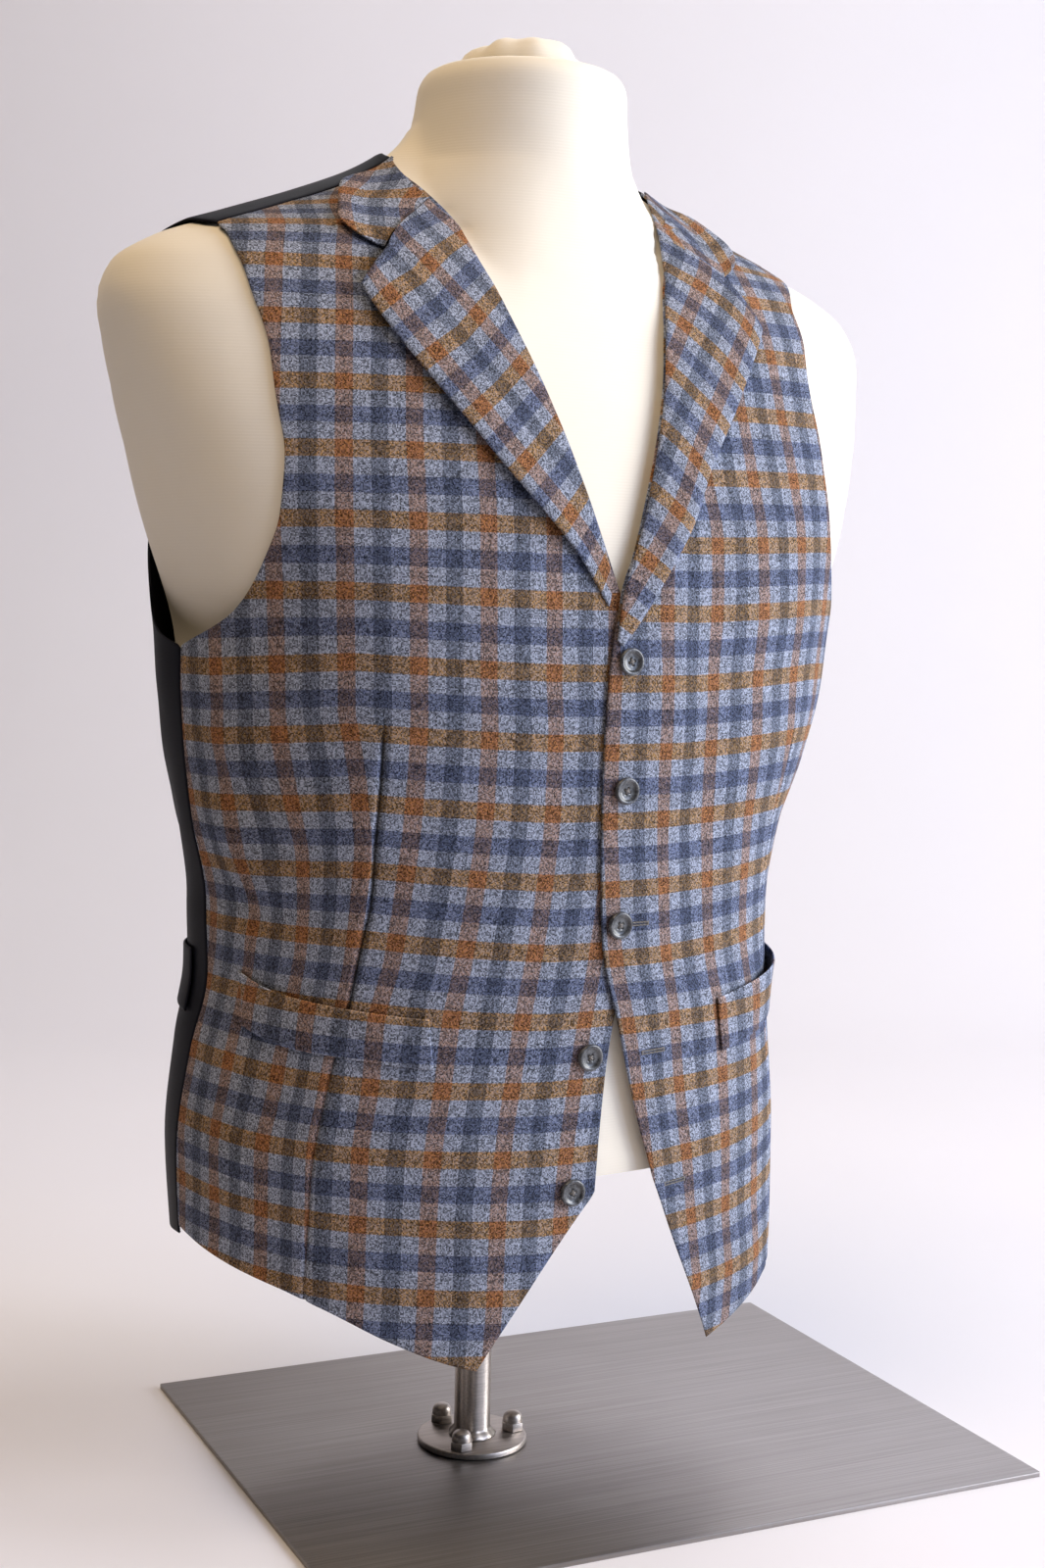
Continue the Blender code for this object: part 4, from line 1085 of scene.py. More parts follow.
places, points, painted_shading = front_shape(
    -1, FRONT_EDGE_RIGHT, SIDE_SEAM_RIGHT, ARMHOLE_FRONT_RIGHT, HEM_FRONT_RIGHT,
    SHOULDER_RIGHT, Column(DART_RIGHT, 1), CREASES_RIGHT, lambda angle: 0.0 * angle,
)
front_right = cloth(
    "front_right_cloth", points, pattern_on(places, -1, WARP_RIGHT, WEFT_RIGHT),
    check, CLOTH_WALL, split=(DART_COLUMN, taken_up(places, -1)), turn=True, painted_shading=painted_shading,
)
belongs(front_right, "wool_check", "front_right")

# ------------------------------------------------------------------ front, wearer's left
# The left front laps over the right one and buttons to it. It has the buttonholes, and
# the same dart and facing.
WRAP_LIFT = 0.0022
WRAP_FADE = (5.0, 14.0)
FRONT_EDGE_LEFT = (
    ((24.6, 0.090), (14.0, 0.152), (7.7, 0.195)),
    ((7.7, 0.195), (4.2, 0.230), (0.3, 0.287), (-2.0, 0.330),
     (-2.8, 0.379), (-2.9, 0.416), (-2.4, 0.473), (-0.8, 0.518)),
    ((-0.8, 0.518), (2.1, 0.562), (7.1, 0.627), (12.2, 0.685),
     (25.8, 0.723), (68.0, 0.7545)),
)
SIDE_SEAM_LEFT = (
    (95.0, 0.140), (93.0, 0.210), (90.0, 0.310),
    (90.0, 0.400), (86.0, 0.484),
)
ARMHOLE_FRONT_LEFT = (
    (86.0, 0.484), (75.0, 0.490), (62.0, 0.505), (51.5, 0.530),
    (44.5, 0.560), (39.5, 0.598), (37.5, 0.640), (40.5, 0.685),
    (62.0, 0.716),
)
HEM_FRONT_LEFT = (
    (24.6, 0.090), (38.0, 0.101), (57.0, 0.114), (75.0, 0.127),
    (95.0, 0.140),
)
SHOULDER_LEFT = (
    (68.0, 0.7545), (66.0, 0.745), (63.0, 0.735), (62.0, 0.725),
    (62.0, 0.716),
)
DART_LEFT = (
    # height, angle
    (0.085, 57.0), (0.147, 55.0), (0.226, 52.0), (0.298, 49.0),
    (0.354, 45.5), (0.416, 42.0), (0.448, 40.5), (0.560, 32.0), (0.760, 40.0),
)
CREASES_LEFT = (
    # start angle, start height, end angle, end height, depth, width
    (84.0, 0.430, 60.0, 0.380, -0.0008, 0.011),
    (86.0, 0.398, 58.0, 0.350, 0.0009, 0.011),
    (86.0, 0.352, 64.0, 0.338, -0.0010, 0.010),
    (16.0, 0.470, 3.0, 0.430, 0.0006, 0.014),
    (16.0, 0.400, 3.0, 0.365, -0.0005, 0.014),
    (26.0, 0.235, 34.0, 0.120, 0.0009, 0.016),
    (62.0, 0.240, 70.0, 0.140, -0.0010, 0.016),
    (38.0, 0.570, 24.0, 0.480, 0.0005, 0.020),
)
LEFT_STATIONS = (0.0, 14.0, 30.0)
WARP_LEFT = (
    # height, at each station
    (0.127, 2.26, 2.04, 1.72), (0.167, 2.11, 1.76, 1.46), (0.206, 1.86, 1.53, 1.40),
    (0.246, 1.56, 1.29, 1.34), (0.285, 1.26, 1.14, 1.18), (0.322, 0.98, 0.88, 0.83),
    (0.360, 0.86, 0.73, 0.73), (0.397, 0.77, 0.63, 0.66), (0.434, 0.75, 0.61, 0.68),
    (0.471, 0.75, 0.59, 0.59), (0.508, 0.66, 0.66, 0.71), (0.550, 0.71, 0.71, 0.68),
    (0.584, 0.61, 0.58, 0.54), (0.620, 0.58, 0.56, 0.39),
)
WEFT_LEFT = (
    # height, at each station
    (0.127, 0.77, 0.77, 0.60), (0.167, 0.68, 0.63, 0.50), (0.206, 0.63, 0.60, 0.45),
    (0.246, 0.54, 0.60, 0.45), (0.285, 0.52, 0.60, 0.45), (0.322, 0.50, 0.43, 0.40),
    (0.360, 0.47, 0.45, 0.42), (0.397, 0.47, 0.42, 0.40), (0.434, 0.47, 0.34, 0.34),
    (0.471, 0.48, 0.33, 0.33), (0.508, 0.46, 0.31, 0.31), (0.550, 0.45, 0.29, 0.29),
    (0.584, 0.42, 0.27, 0.27), (0.620, 0.38, 0.28, 0.28),
)


def wrap_lift(angle):
    """The left front stands off where it laps over the right front."""
    return WRAP_LIFT * (1 - smooth_step(*WRAP_FADE, angle))


places, points, painted_shading = front_shape(
    1, FRONT_EDGE_LEFT, SIDE_SEAM_LEFT, ARMHOLE_FRONT_LEFT, HEM_FRONT_LEFT,
    SHOULDER_LEFT, Column(DART_LEFT, 1), CREASES_LEFT, wrap_lift,
)
front_left = cloth(
    "front_left_cloth", points, pattern_on(places, 1, WARP_LEFT, WEFT_LEFT, LEFT_STATIONS),
    check, CLOTH_WALL, split=(DART_COLUMN, taken_up(places, 1)), painted_shading=painted_shading,
)
belongs(front_left, "wool_check", "front_left")

# ------------------------------------------------------------------ back
# The back is one width of dark satin for each half, joined by a seam down the middle.
# It is drawn in at the waist, where the two straps pull it into short folds.
SHOULDER_TURN = 0.45
SHOULDER_SHARE = 6 / 28
# The centre seam's groove and the swell on one side of it: depth, width, distance.
BACK_GROOVE = (0.0009, 0.0014)
BACK_SWELL = (0.0003, 0.003, 0.004)
ARMHOLE_BACK_RIGHT = (
    (86.0, 0.484), (100.0, 0.495), (115.0, 0.520), (127.0, 0.560),
    (131.0, 0.600), (133.0, 0.640), (131.0, 0.680), (112.0, 0.702),
    (90.0, 0.710), (65.5, 0.7055),
)
ARMHOLE_BACK_LEFT = (
    (86.0, 0.484), (100.0, 0.495), (115.0, 0.520), (127.0, 0.560),
    (132.0, 0.600), (135.0, 0.640), (132.0, 0.685), (112.0, 0.712),
    (88.0, 0.721), (62.0, 0.716),
)
# Right round the back: past 180 the angles are the wearer's left side.
HEM_BACK = (
    (94.4, 0.154), (115.0, 0.148), (137.0, 0.147), (180.0, 0.147),
    (223.0, 0.144), (265.0, 0.140),
)
NECKLINE_BACK = ((64.5, 0.7545), (90.0, 0.7585), (132.0, 0.757), (180.0, 0.751))
CREASES_BACK = (
    # start angle, start height, end angle, end height, depth, width
    (172.0, 0.300, 140.0, 0.372, 0.0022, 0.008),
    (174.0, 0.296, 138.0, 0.330, -0.0014, 0.007),
    (172.0, 0.292, 138.0, 0.268, 0.0018, 0.008),
    (172.0, 0.286, 146.0, 0.222, -0.0013, 0.008),
    (187.0, 0.300, 222.0, 0.366, 0.0020, 0.008),
    (186.0, 0.296, 224.0, 0.324, -0.0013, 0.007),
    (188.0, 0.291, 219.0, 0.262, 0.0019, 0.009),
    (188.0, 0.286, 214.0, 0.214, -0.0012, 0.008),
    (168.0, 0.310, 158.0, 0.430, 0.0012, 0.010),
    (192.0, 0.312, 204.0, 0.440, 0.0011, 0.011),
    (100.0, 0.450, 126.0, 0.372, 0.0018, 0.012),
    (98.0, 0.400, 122.0, 0.340, -0.0016, 0.010),
    (262.0, 0.452, 236.0, 0.380, 0.0015, 0.012),
    (263.0, 0.404, 240.0, 0.346, -0.0013, 0.011),
    (150.0, 0.560, 130.0, 0.500, 0.0009, 0.014),
    (212.0, 0.565, 231.0, 0.495, 0.0010, 0.014),
    (165.0, 0.725, 150.0, 0.640, 0.0006, 0.012),
    (196.0, 0.722, 210.0, 0.650, 0.0006, 0.013),
    (156.0, 0.262, 150.0, 0.160, 0.0012, 0.014),
    (206.0, 0.258, 214.0, 0.160, 0.0012, 0.014),
)


def far_side(rows):
    """The wearer's left side's angles, counted on round the back from the right."""
    return tuple((360 - angle, height) for angle, height in rows)


SATIN_DARK = (0.004, 0.0045, 0.008)
SATIN_LIGHT = (0.011, 0.012, 0.021)
SATIN_CLOUD = (0.012, 0.012, 0.016)

satin = Finish("dark_satin", Specular_IOR_Level=0.04)
uv = satin.map("cloth")
u, v, _ = satin.split(uv)
warp_lines = satin.noise(satin.vector(u * 2400, v * 120, 0.0), 1.0, 1)
weft_lines = satin.noise(satin.vector(u * 90, v * 1500, 0.0), 1.0, 1)
shine = satin.noise(satin.vector(u * 14, v * 9, 0.0), 1.0, 3)
lined = satin.mix(warp_lines * 0.8, SATIN_DARK, SATIN_LIGHT)
satin.use("Base Color", satin.mix(shine * 0.3, lined, SATIN_CLOUD))
satin.use("Roughness", 0.40 + shine * 0.12 + weft_lines * 0.06)
satin.bump(warp_lines * 0.6 + weft_lines * 0.6, 0.00012, 0.6)

BACK_ACROSS = spread(181, 0.003)
# Rows stand closer above this share, where the armholes run in to the shoulders.
BACK_CLOSER = 0.74
BACK_UP = np.concatenate((
    spread(121, 0.004) * BACK_CLOSER,
    BACK_CLOSER + (1 - BACK_CLOSER) * spread(81, 0.004)[1:],
))

seam_right, armhole_right, seam_left, armhole_left = (
    shifted(run, SEAM_TURN)
    for run in (SIDE_SEAM_RIGHT, ARMHOLE_BACK_RIGHT, SIDE_SEAM_LEFT, ARMHOLE_BACK_LEFT)
)
neck_left = (SHOULDER_LEFT[0],) + NECKLINE_BACK[1:]
places = patch(
    edge(seam_right, armhole_right, ends=(SIDE_SHARE, 1.0)),
    edge(far_side(seam_left), far_side(armhole_left), ends=(SIDE_SHARE, 1.0)),
    edge(shifted(HEM_BACK[:1], SEAM_TURN) + HEM_BACK[1:-1] + shifted(HEM_BACK[-1:], -SEAM_TURN)),
    edge(
        shifted(SHOULDER_RIGHT, SHOULDER_TURN)[::-1],
        shifted(NECKLINE_BACK[:-1], SHOULDER_TURN) + NECKLINE_BACK[-1:],
        far_side(shifted(neck_left[:-1], SHOULDER_TURN) + neck_left[-1:])[::-1],
        far_side(shifted(SHOULDER_LEFT, SHOULDER_TURN)),
        ends=(SHOULDER_SHARE, 0.5, 1 - SHOULDER_SHARE, 1.0),
    ),
    BACK_ACROSS,
    BACK_UP,
    hold=4,
)
points = cloth_point(-places[..., 0], places[..., 1])
across = lengths(points, 1)
off = across - across[:, [len(BACK_ACROSS) // 2]]
lift = -BACK_GROOVE[0] * ridge(off, BACK_GROOVE[1])
lift = lift + BACK_SWELL[0] * ridge(off - BACK_SWELL[2], BACK_SWELL[1])
lift += creased(places[..., 0], places[..., 1], CREASES_BACK) + rolled(points)
points = raised(points, -1, places, lift)
pattern = np.stack((across, lengths(points, 0)), axis=-1)
back = cloth("back_cloth", points, pattern, satin, CLOTH_WALL, turn=True)
belongs(back, "dark_satin", "back")

# ------------------------------------------------------------------ lapels
# Each lapel is the front turned back on itself along the roll line, faced with the same
# check, its outer edge standing a little off the chest.
REST_GAP = 0.0005
LAPEL_WALL = 0.0014
LAPEL_ROLL = 0.0022
LAPEL_ROLL_RIGHT = (
    (1.6, 0.5240), (2.9, 0.548), (6.5, 0.601), (11.0, 0.653),
    (13.8, 0.683), (19.2, 0.710), (30.0, 0.727),
)
LAPEL_EDGE_RIGHT = (
    (2.3, 0.510), (6.0, 0.5350), (10.9, 0.5590), (15.5, 0.5820),
    (20.1, 0.6065), (24.6, 0.6290), (28.2, 0.6480), (31.9, 0.671),
)
LAPEL_TOP_RIGHT = (
    ((30.0, 0.727), (28.8, 0.693)),
    ((28.8, 0.693), (31.9, 0.671)),
)
LAPEL_ROLL_LEFT = (
    (-1.5, 0.492), (-0.6, 0.518), (2.3, 0.562), (7.2, 0.627),
    (12.3, 0.685), (24.2, 0.722),
)
LAPEL_EDGE_LEFT = (
    (-0.7, 0.489), (0.8, 0.501), (5.9, 0.537), (8.7, 0.555),
    (12.2, 0.584), (17.8, 0.617), (27.2, 0.668),
)
LAPEL_TOP_LEFT = (
    ((24.2, 0.722), (26.0, 0.697)),
    ((26.0, 0.697), (27.2, 0.668)),
)
# A lapel's check: where it starts in repeats from the outer edge and from the lower end,
# a weft repeat's length in repeats, and how far the weft climbs in each warp repeat.
LAPEL_CHECK_RIGHT = (0.32, 0.31, 1.0, 0.16)
LAPEL_CHECK_LEFT = (0.40, 0.311, 0.9, 0.14)
# How far the outer edge stands off the chest, and the share across from which it does.
# Both it and the roll grow in over the lapel's lower end.
LAPEL_STAND = 0.0038
LAPEL_STAND_FROM = 0.45
LAPEL_GROWN = (0.0, 0.3)
# The share of a lapel's top that is sewn to the collar; the rest is the notch.
LAPEL_SEWN = 0.6
NOTCH_TURN = 0.05
# How wide and how deep a folded edge turns in.
LAPEL_FOLD = (0.0022, 0.0010)

# The share of the left lapel's roll line from which it runs straight on to the shoulder.
ROLL_STRAIGHT = 0.83
STRAIGHT_FADE = 1.5


def pulled_straight(points, across, up, start):
    """The near edge runs straight from a share of its length; the cloth beside it gives."""
    first = int(np.searchsorted(up, start))
    t = np.clip((up - up[first]) / (1 - up[first]), 0, 1)[:, None, None]
    line = points[first] + (points[-1] - points[first]) * t
    give = (t > 0) * (1 - across[None, :, None]) ** STRAIGHT_FADE
    return points + (line - points) * give


LAPEL_ACROSS = spread(31, 0.02)
LAPEL_UP = spread(121, 0.006)
for name, side, roll, outer, top, (start, rise, pitch, tilt) in (
    ("right", -1, LAPEL_ROLL_RIGHT, LAPEL_EDGE_RIGHT, LAPEL_TOP_RIGHT, LAPEL_CHECK_RIGHT),
    ("left", 1, LAPEL_ROLL_LEFT, LAPEL_EDGE_LEFT, LAPEL_TOP_LEFT, LAPEL_CHECK_LEFT),
):
    places = patch(
        edge(roll), edge(outer), edge((roll[0], outer[0])), edge(*top, ends=(LAPEL_SEWN, 1.0)),
        LAPEL_ACROSS, LAPEL_UP,
    )
    across = LAPEL_ACROSS[None, :]
    grown = smooth_step(*LAPEL_GROWN, LAPEL_UP)[:, None]
    bulge = LAPEL_ROLL * np.sin(math.pi * across) * grown
    stand = LAPEL_STAND * smooth_step(LAPEL_STAND_FROM, 1.0, across) * grown
    lift = REST_GAP + LAPEL_WALL + bulge + stand
    points = cloth_point(side * places[..., 0], places[..., 1])
    if side > 0:
        lift = lift + wrap_lift(places[..., 0])
        points = pulled_straight(points, LAPEL_ACROSS, LAPEL_UP, ROLL_STRAIGHT)
    notch = smooth_step(LAPEL_SEWN, LAPEL_SEWN + NOTCH_TURN, across)
    lift = lift + rolled(points, *LAPEL_FOLD, (1, 1, 0, notch))
    points = raised(points, side, places, lift)
    inwards = lengths(points[:, ::-1], 1)[:, ::-1]
    upwards = lengths(points[:, -1:], 0)
    counts = inwards / REPEAT - start
    pattern = np.stack((counts, upwards / (pitch * REPEAT) - rise + tilt * counts), axis=-1)
    lapel = cloth(f"lapel_{name}_cloth", points, pattern, check, LAPEL_WALL, turn=side < 0)
    belongs(lapel, "wool_check", f"lapel_{name}")

# ------------------------------------------------------------------ collar
# The collar's two ends, joined to the lapels at the notch. It runs up over the shoulder
# to the back's neckline.
COLLAR_GORGE_RIGHT = (
    ((30.3, 0.7281), (29.2, 0.6940)),
    ((29.2, 0.6940), (33.8, 0.6990), (39.4, 0.7060)),
)
COLLAR_NECK_RIGHT = ((30.3, 0.7281), (43.0, 0.7400), (63.5, 0.7538))
COLLAR_EDGE_RIGHT = ((39.4, 0.706), (48.5, 0.720), (60.5, 0.733))
COLLAR_GORGE_LEFT = (
    ((24.5, 0.7229), (26.3, 0.6978)),
    ((26.3, 0.6978), (34.1, 0.707)),
)
COLLAR_NECK_LEFT = ((24.5, 0.7229), (42.0, 0.7385), (67.0, 0.7538))
COLLAR_EDGE_LEFT = ((34.1, 0.707), (49.0, 0.722), (62.0, 0.737))
# The right collar's check in repeats: a start, then for each metre round and each metre up.
COLLAR_WARP = (-3.59, 28.2, 3.1)
COLLAR_WEFT = (-4.49, -2.8, 17.9)
# The left collar's orange runs along its outer edge.
COLLAR_START_LEFT = (0.30, 0.36)
# The share of the gorge that is sewn to the lapel; the rest is the notch.
COLLAR_SEWN = 0.5
COLLAR_STAND = 0.0028
COLLAR_STAND_FROM = 0.4

COLLAR_ACROSS = spread(31, 0.02)
COLLAR_UP = spread(41, 0.02)
for name, side, neck, outer, gorge in (
    ("right", -1, COLLAR_NECK_RIGHT, COLLAR_EDGE_RIGHT, COLLAR_GORGE_RIGHT),
    ("left", 1, COLLAR_NECK_LEFT, COLLAR_EDGE_LEFT, COLLAR_GORGE_LEFT),
):
    places = patch(
        edge(neck), edge(outer), edge(*gorge, ends=(COLLAR_SEWN, 1.0)), edge((neck[-1], outer[-1])),
        COLLAR_ACROSS, COLLAR_UP, hold=2,
    )
    points = cloth_point(side * places[..., 0], places[..., 1])
    if side > 0:
        points = pulled_straight(points, COLLAR_ACROSS, COLLAR_UP, 0.0)
    across = COLLAR_ACROSS[None, :]
    notch = smooth_step(COLLAR_SEWN, COLLAR_SEWN + NOTCH_TURN, across)
    lift = REST_GAP + LAPEL_WALL + rolled(points, *LAPEL_FOLD, (1, 1, notch, 1))
    lift = lift + COLLAR_STAND * smooth_step(COLLAR_STAND_FROM, 1.0, across)
    points = raised(points, side, places, lift)
    if side < 0:
        reach = on_chart(chart_round, -places[..., 0], places[..., 1])
        climb = on_chart(chart_up, -places[..., 0], places[..., 1])
        rates = (COLLAR_WARP, COLLAR_WEFT)
        counts = [start - reach * by + climb * rise for start, by, rise in rates]
    else:
        counts = [
            lengths(points, 0) / REPEAT - COLLAR_START_LEFT[0],
            lengths(points[:, ::-1], 1)[:, ::-1] / REPEAT - COLLAR_START_LEFT[1],
        ]
    pattern = np.stack(counts, axis=-1)
    collar = cloth(f"collar_{name}_cloth", points, pattern, check, LAPEL_WALL, turn=side < 0)
    belongs(collar, "wool_check", f"collar_{name}")

# ------------------------------------------------------------------ pocket welts
# A pocket on each front, edged with a strip of the check sewn down at its lower side and
# its two ends.
WELT_TOP_RIGHT = ((31.5, 0.292), (51.8, 0.298), (66.9, 0.304), (76.4, 0.311))
WELT_BOTTOM_RIGHT = ((29.4, 0.265), (47.5, 0.271), (62.5, 0.275), (73.5, 0.282))
WELT_TOP_LEFT = ((24.0, 0.291), (46.0, 0.300), (67.0, 0.309))
WELT_BOTTOM_LEFT = ((25.3, 0.260), (46.5, 0.267), (66.0, 0.277))
WELT_REST = 0.0009
WELT_WALL = 0.0012
WELT_GAPE_RIGHT = 0.0012
WELT_GAPE_LEFT = 0.0050
# The mouth gapes most past its middle, towards the side.
WELT_GAPE_SKEW = 1.6
# Painted highlights along the welt's top edge and its lower seam, and their width.
WELT_EDGE_PAINTED_HIGHLIGHT = 0.55
WELT_SEAM_PAINTED_HIGHLIGHT = 0.30
WELT_HIGHLIGHT_WIDE = 0.0011
WELT_FOLD = (0.0018, 0.0009)

WELT_ACROSS = spread(81, 0.008)
WELT_UP = spread(19, 0.03)
for name, side, bottom, top, gape, *check_rows in (
    ("right", -1, WELT_BOTTOM_RIGHT, WELT_TOP_RIGHT, WELT_GAPE_RIGHT,
     WARP_RIGHT, WEFT_RIGHT, FRONT_STATIONS),
    ("left", 1, WELT_BOTTOM_LEFT, WELT_TOP_LEFT, WELT_GAPE_LEFT,
     WARP_LEFT, WEFT_LEFT, LEFT_STATIONS),
):
    places = patch(
        edge((bottom[0], top[0])), edge((bottom[-1], top[-1])), edge(bottom), edge(top),
        WELT_ACROSS, WELT_UP, hold=1,
    )
    points = cloth_point(side * places[..., 0], places[..., 1])
    lift = WELT_REST + WELT_WALL + rolled(points, *WELT_FOLD)
    mouth = np.sin(math.pi * WELT_ACROSS**WELT_GAPE_SKEW)[None, :]
    points = raised(points, side, places, lift + gape * WELT_UP[:, None] * mouth)
    up = lengths(points, 0)
    # Painted highlights along the top edge and the lower seam.
    painted_shading = WELT_EDGE_PAINTED_HIGHLIGHT * ridge(up[-1:] - up, WELT_HIGHLIGHT_WIDE)
    painted_shading = painted_shading + WELT_SEAM_PAINTED_HIGHLIGHT * ridge(up, WELT_HIGHLIGHT_WIDE)
    pattern = pattern_on(places, side, *check_rows)
    welt = cloth(
        f"welt_{name}_cloth", points, pattern, check, WELT_WALL, turn=side < 0, painted_shading=painted_shading
    )
    belongs(welt, "wool_check", f"welt_{name}")

# ------------------------------------------------------------------ waist straps
# Two tapered satin straps across the small of the back. The left one's end passes through
# a small steel buckle.
STRAP_HEIGHT = 0.297
STRAP_WIDE = 0.036
STRAP_NARROW = 0.020
STRAP_START = 96.0
STRAP_REST = 0.0009
STRAP_WALL = 0.0014
STRAP_RIGHT_END = 173.5
STRAP_TAIL_END = 167.0
STRAP_TAIL_LIFT = 0.0032
# Where a strap is at its narrowest, and where the left one's tail climbs into the buckle.
STRAP_TAPER_END = 165.0
STRAP_TAIL_CLIMB = (168.0, 174.0)
STRAP_FOLD = (0.0018, 0.0008)
# The stitching: how far in from the edge, how deep and how wide.
STITCH_IN = 0.0025
STITCH_DEEP = 0.0003
STITCH_WIDE = 0.0007
BUCKLE_LENGTH = 0.018
BUCKLE_HEIGHT = 0.028
BUCKLE_BAR = 0.003
BUCKLE_THICK = 0.0018
BUCKLE_LIFT = 0.0009

STRAP_ALONG = spread(101, 0.004)
STRAP_UP = spread(17, 0.04)[:, None]
for name, side, end in (("right", -1, STRAP_RIGHT_END), ("left", 1, 360 - STRAP_TAIL_END)):
    turn = STRAP_START + (end - STRAP_START) * STRAP_ALONG
    narrowed = smooth_step(STRAP_START, STRAP_TAPER_END, turn)
    wide = STRAP_WIDE + (STRAP_NARROW - STRAP_WIDE) * narrowed
    height = STRAP_HEIGHT + wide[None, :] * (STRAP_UP - 0.5)
    places = np.stack((turn[None, :] + 0 * height, height), axis=-1)
    points = cloth_point(side * places[..., 0], height)
    lift = STRAP_REST + STRAP_WALL + rolled(points, *STRAP_FOLD)
    if side > 0:
        climbed = smooth_step(*STRAP_TAIL_CLIMB, places[..., 0])
        lift = lift + (STRAP_TAIL_LIFT - STRAP_REST) * climbed
    up = lengths(points, 0)
    for off in (up - STITCH_IN, (up[-1:] - up) - STITCH_IN):
        lift = lift - STITCH_DEEP * ridge(off, STITCH_WIDE)
    points = raised(points, side, places, lift)
    pattern = np.stack((lengths(points, 0), lengths(points, 1)), axis=-1)
    strap = cloth(f"strap_{name}_cloth", points, pattern, satin, STRAP_WALL, turn=side < 0)
    belongs(strap, "dark_satin", f"strap_{name}")

dull = Finish("dull_metal", Metallic=1.0)
worn = dull.noise(dull.place(), 260, 3)
dull.use("Base Color", dull.mix(worn, (0.26, 0.26, 0.27), (0.42, 0.42, 0.43)))
dull.use("Roughness", 0.28 + worn * 0.2)
dull.bump(worn, 0.00004, 0.5)


def seat(angle, height, lift):
    """A frame on the cloth: x across, y up, z out, from a flat trim's own place."""
    angle, height = np.array(float(angle)), np.array(float(height))
    out = Vector(cloth_normal(angle, height))
    across = Vector((0, 0, 1)).cross(out).normalized()
    up = out.cross(across)
    centre = Vector(cloth_point(angle, height)) + out * lift
    turn = Matrix((across, up, out)).transposed().to_4x4()
    return Matrix.Translation(centre) @ turn


buckle_edit = box(BUCKLE_LENGTH, BUCKLE_HEIGHT, BUCKLE_THICK)
bmesh.ops.translate(buckle_edit, verts=buckle_edit.verts, vec=(0, 0, BUCKLE_THICK / 2))
flats = [f for f in buckle_edit.faces if abs(f.normal.z) > 0.9]
bmesh.ops.inset_region(buckle_edit, faces=flats, thickness=BUCKLE_BAR)
bmesh.ops.delete(buckle_edit, geom=flats, context="FACES_ONLY")
loops = [e for e in buckle_edit.edges if e.is_boundary]
bmesh.ops.bridge_loops(buckle_edit, edges=loops)
bmesh.ops.recalc_face_normals(buckle_edit, faces=buckle_edit.faces)
bevelled(buckle_edit, [e for e in buckle_edit.edges if e.calc_face_angle(0) > 0.5], 0.0005, 3)
bmesh.ops.transform(
    buckle_edit, verts=buckle_edit.verts, matrix=seat(180, STRAP_HEIGHT, BUCKLE_LIFT)
)
belongs(solid("buckle", buckle_edit, dull), "dull_metal", "strap_buckle")

# ------------------------------------------------------------------ buttons
# Five four-hole buttons of dark grey horn with a raised rim, cross-sewn with grey thread.
# Three close the fronts and two stand open below.
GAP = 0.0003
BUTTONS = (
    # side (0 is on the overlap), angle, height, turn of its holes
    (0, 0.0, 0.481, 20),
    (0, 0.0, 0.412, 65),
    (0, 0.0, 0.339, 38),
    (-1, 3.0, 0.267, 52),
    (-1, 4.9, 0.193, 12),
)
BUTTON_SECTION = (
    # radius, height over its seat
    (0.0, 0.00005), (0.0055, 0.0), (0.0063, 0.0), (0.0070, 0.0004), (0.0074, 0.0010),
    (0.0075, 0.0016), (0.00745, 0.0022), (0.0072, 0.0027), (0.0068, 0.0030), (0.0063, 0.00305),
    (0.0058, 0.0029), (0.0053, 0.0026), (0.0049, 0.0022), (0.0044, 0.0019), (0.0030, 0.0018),
    (0.0, 0.0018),
)
HOLE_OUT = 0.0015
HOLE_RADIUS = 0.00075
# A thread's thickness, where its ends go down, how high it lies and bows, and how much
# higher the crossing pair lies.
THREAD_RADIUS = 0.00022
THREAD_FOOT = 0.0002
THREAD_RISE = 0.00185
THREAD_BOW = 0.0005
THREAD_OVER = 0.0002

horn = Finish("horn_grey", Coat_Weight=0.35, Coat_Roughness=0.15)
place = horn.place()
marble = horn.noise(place, 320, 4, 0.6)
grain = horn.noise(place, 1500, 2)
horn_colour = horn.mix(marble.step(0.35, 0.7), (0.022, 0.024, 0.028), (0.13, 0.135, 0.14))
horn.use("Base Color", horn.mix(grain * 0.25, horn_colour, (0.05, 0.05, 0.055)))
horn.use("Roughness", 0.22 + grain * 0.12)
horn.bump(grain, 0.00003, 0.4)


def twisted(name, roughness, fine, dark, light, strength):
    """A thread's finish: two shades of grey that follow its twist."""
    made = Finish(name, Roughness=roughness, Sheen_Weight=0.3)
    twist = made.noise(made.place(), fine, 2)
    made.use("Base Color", made.mix(twist, dark, light))
    made.bump(twist, 0.0001, strength)
    return made


thread = twisted("grey_thread", 0.7, 2600, (0.10, 0.09, 0.085), (0.34, 0.31, 0.28), 0.7)


def tube(edit, points, radius, sides=6):
    """A thread through points: rings joined one to the next and closed at both ends."""
    rings = []
    for k, point in enumerate(points):
        ahead = points[min(k + 1, len(points) - 1)] - points[max(k - 1, 0)]
        turn = ahead.to_track_quat("Z", "Y").to_matrix().to_4x4()
        made = bmesh.ops.create_circle(
            edit, cap_ends=k in (0, len(points) - 1), radius=radius, segments=sides,
            matrix=Matrix.Translation(point) @ turn,
        )
        rings.append(made["verts"])
    for first, second in zip(rings, rings[1:]):
        loops = [e for ring in (first, second) for e in ring_edges(ring)]
        bmesh.ops.bridge_loops(edit, edges=loops)


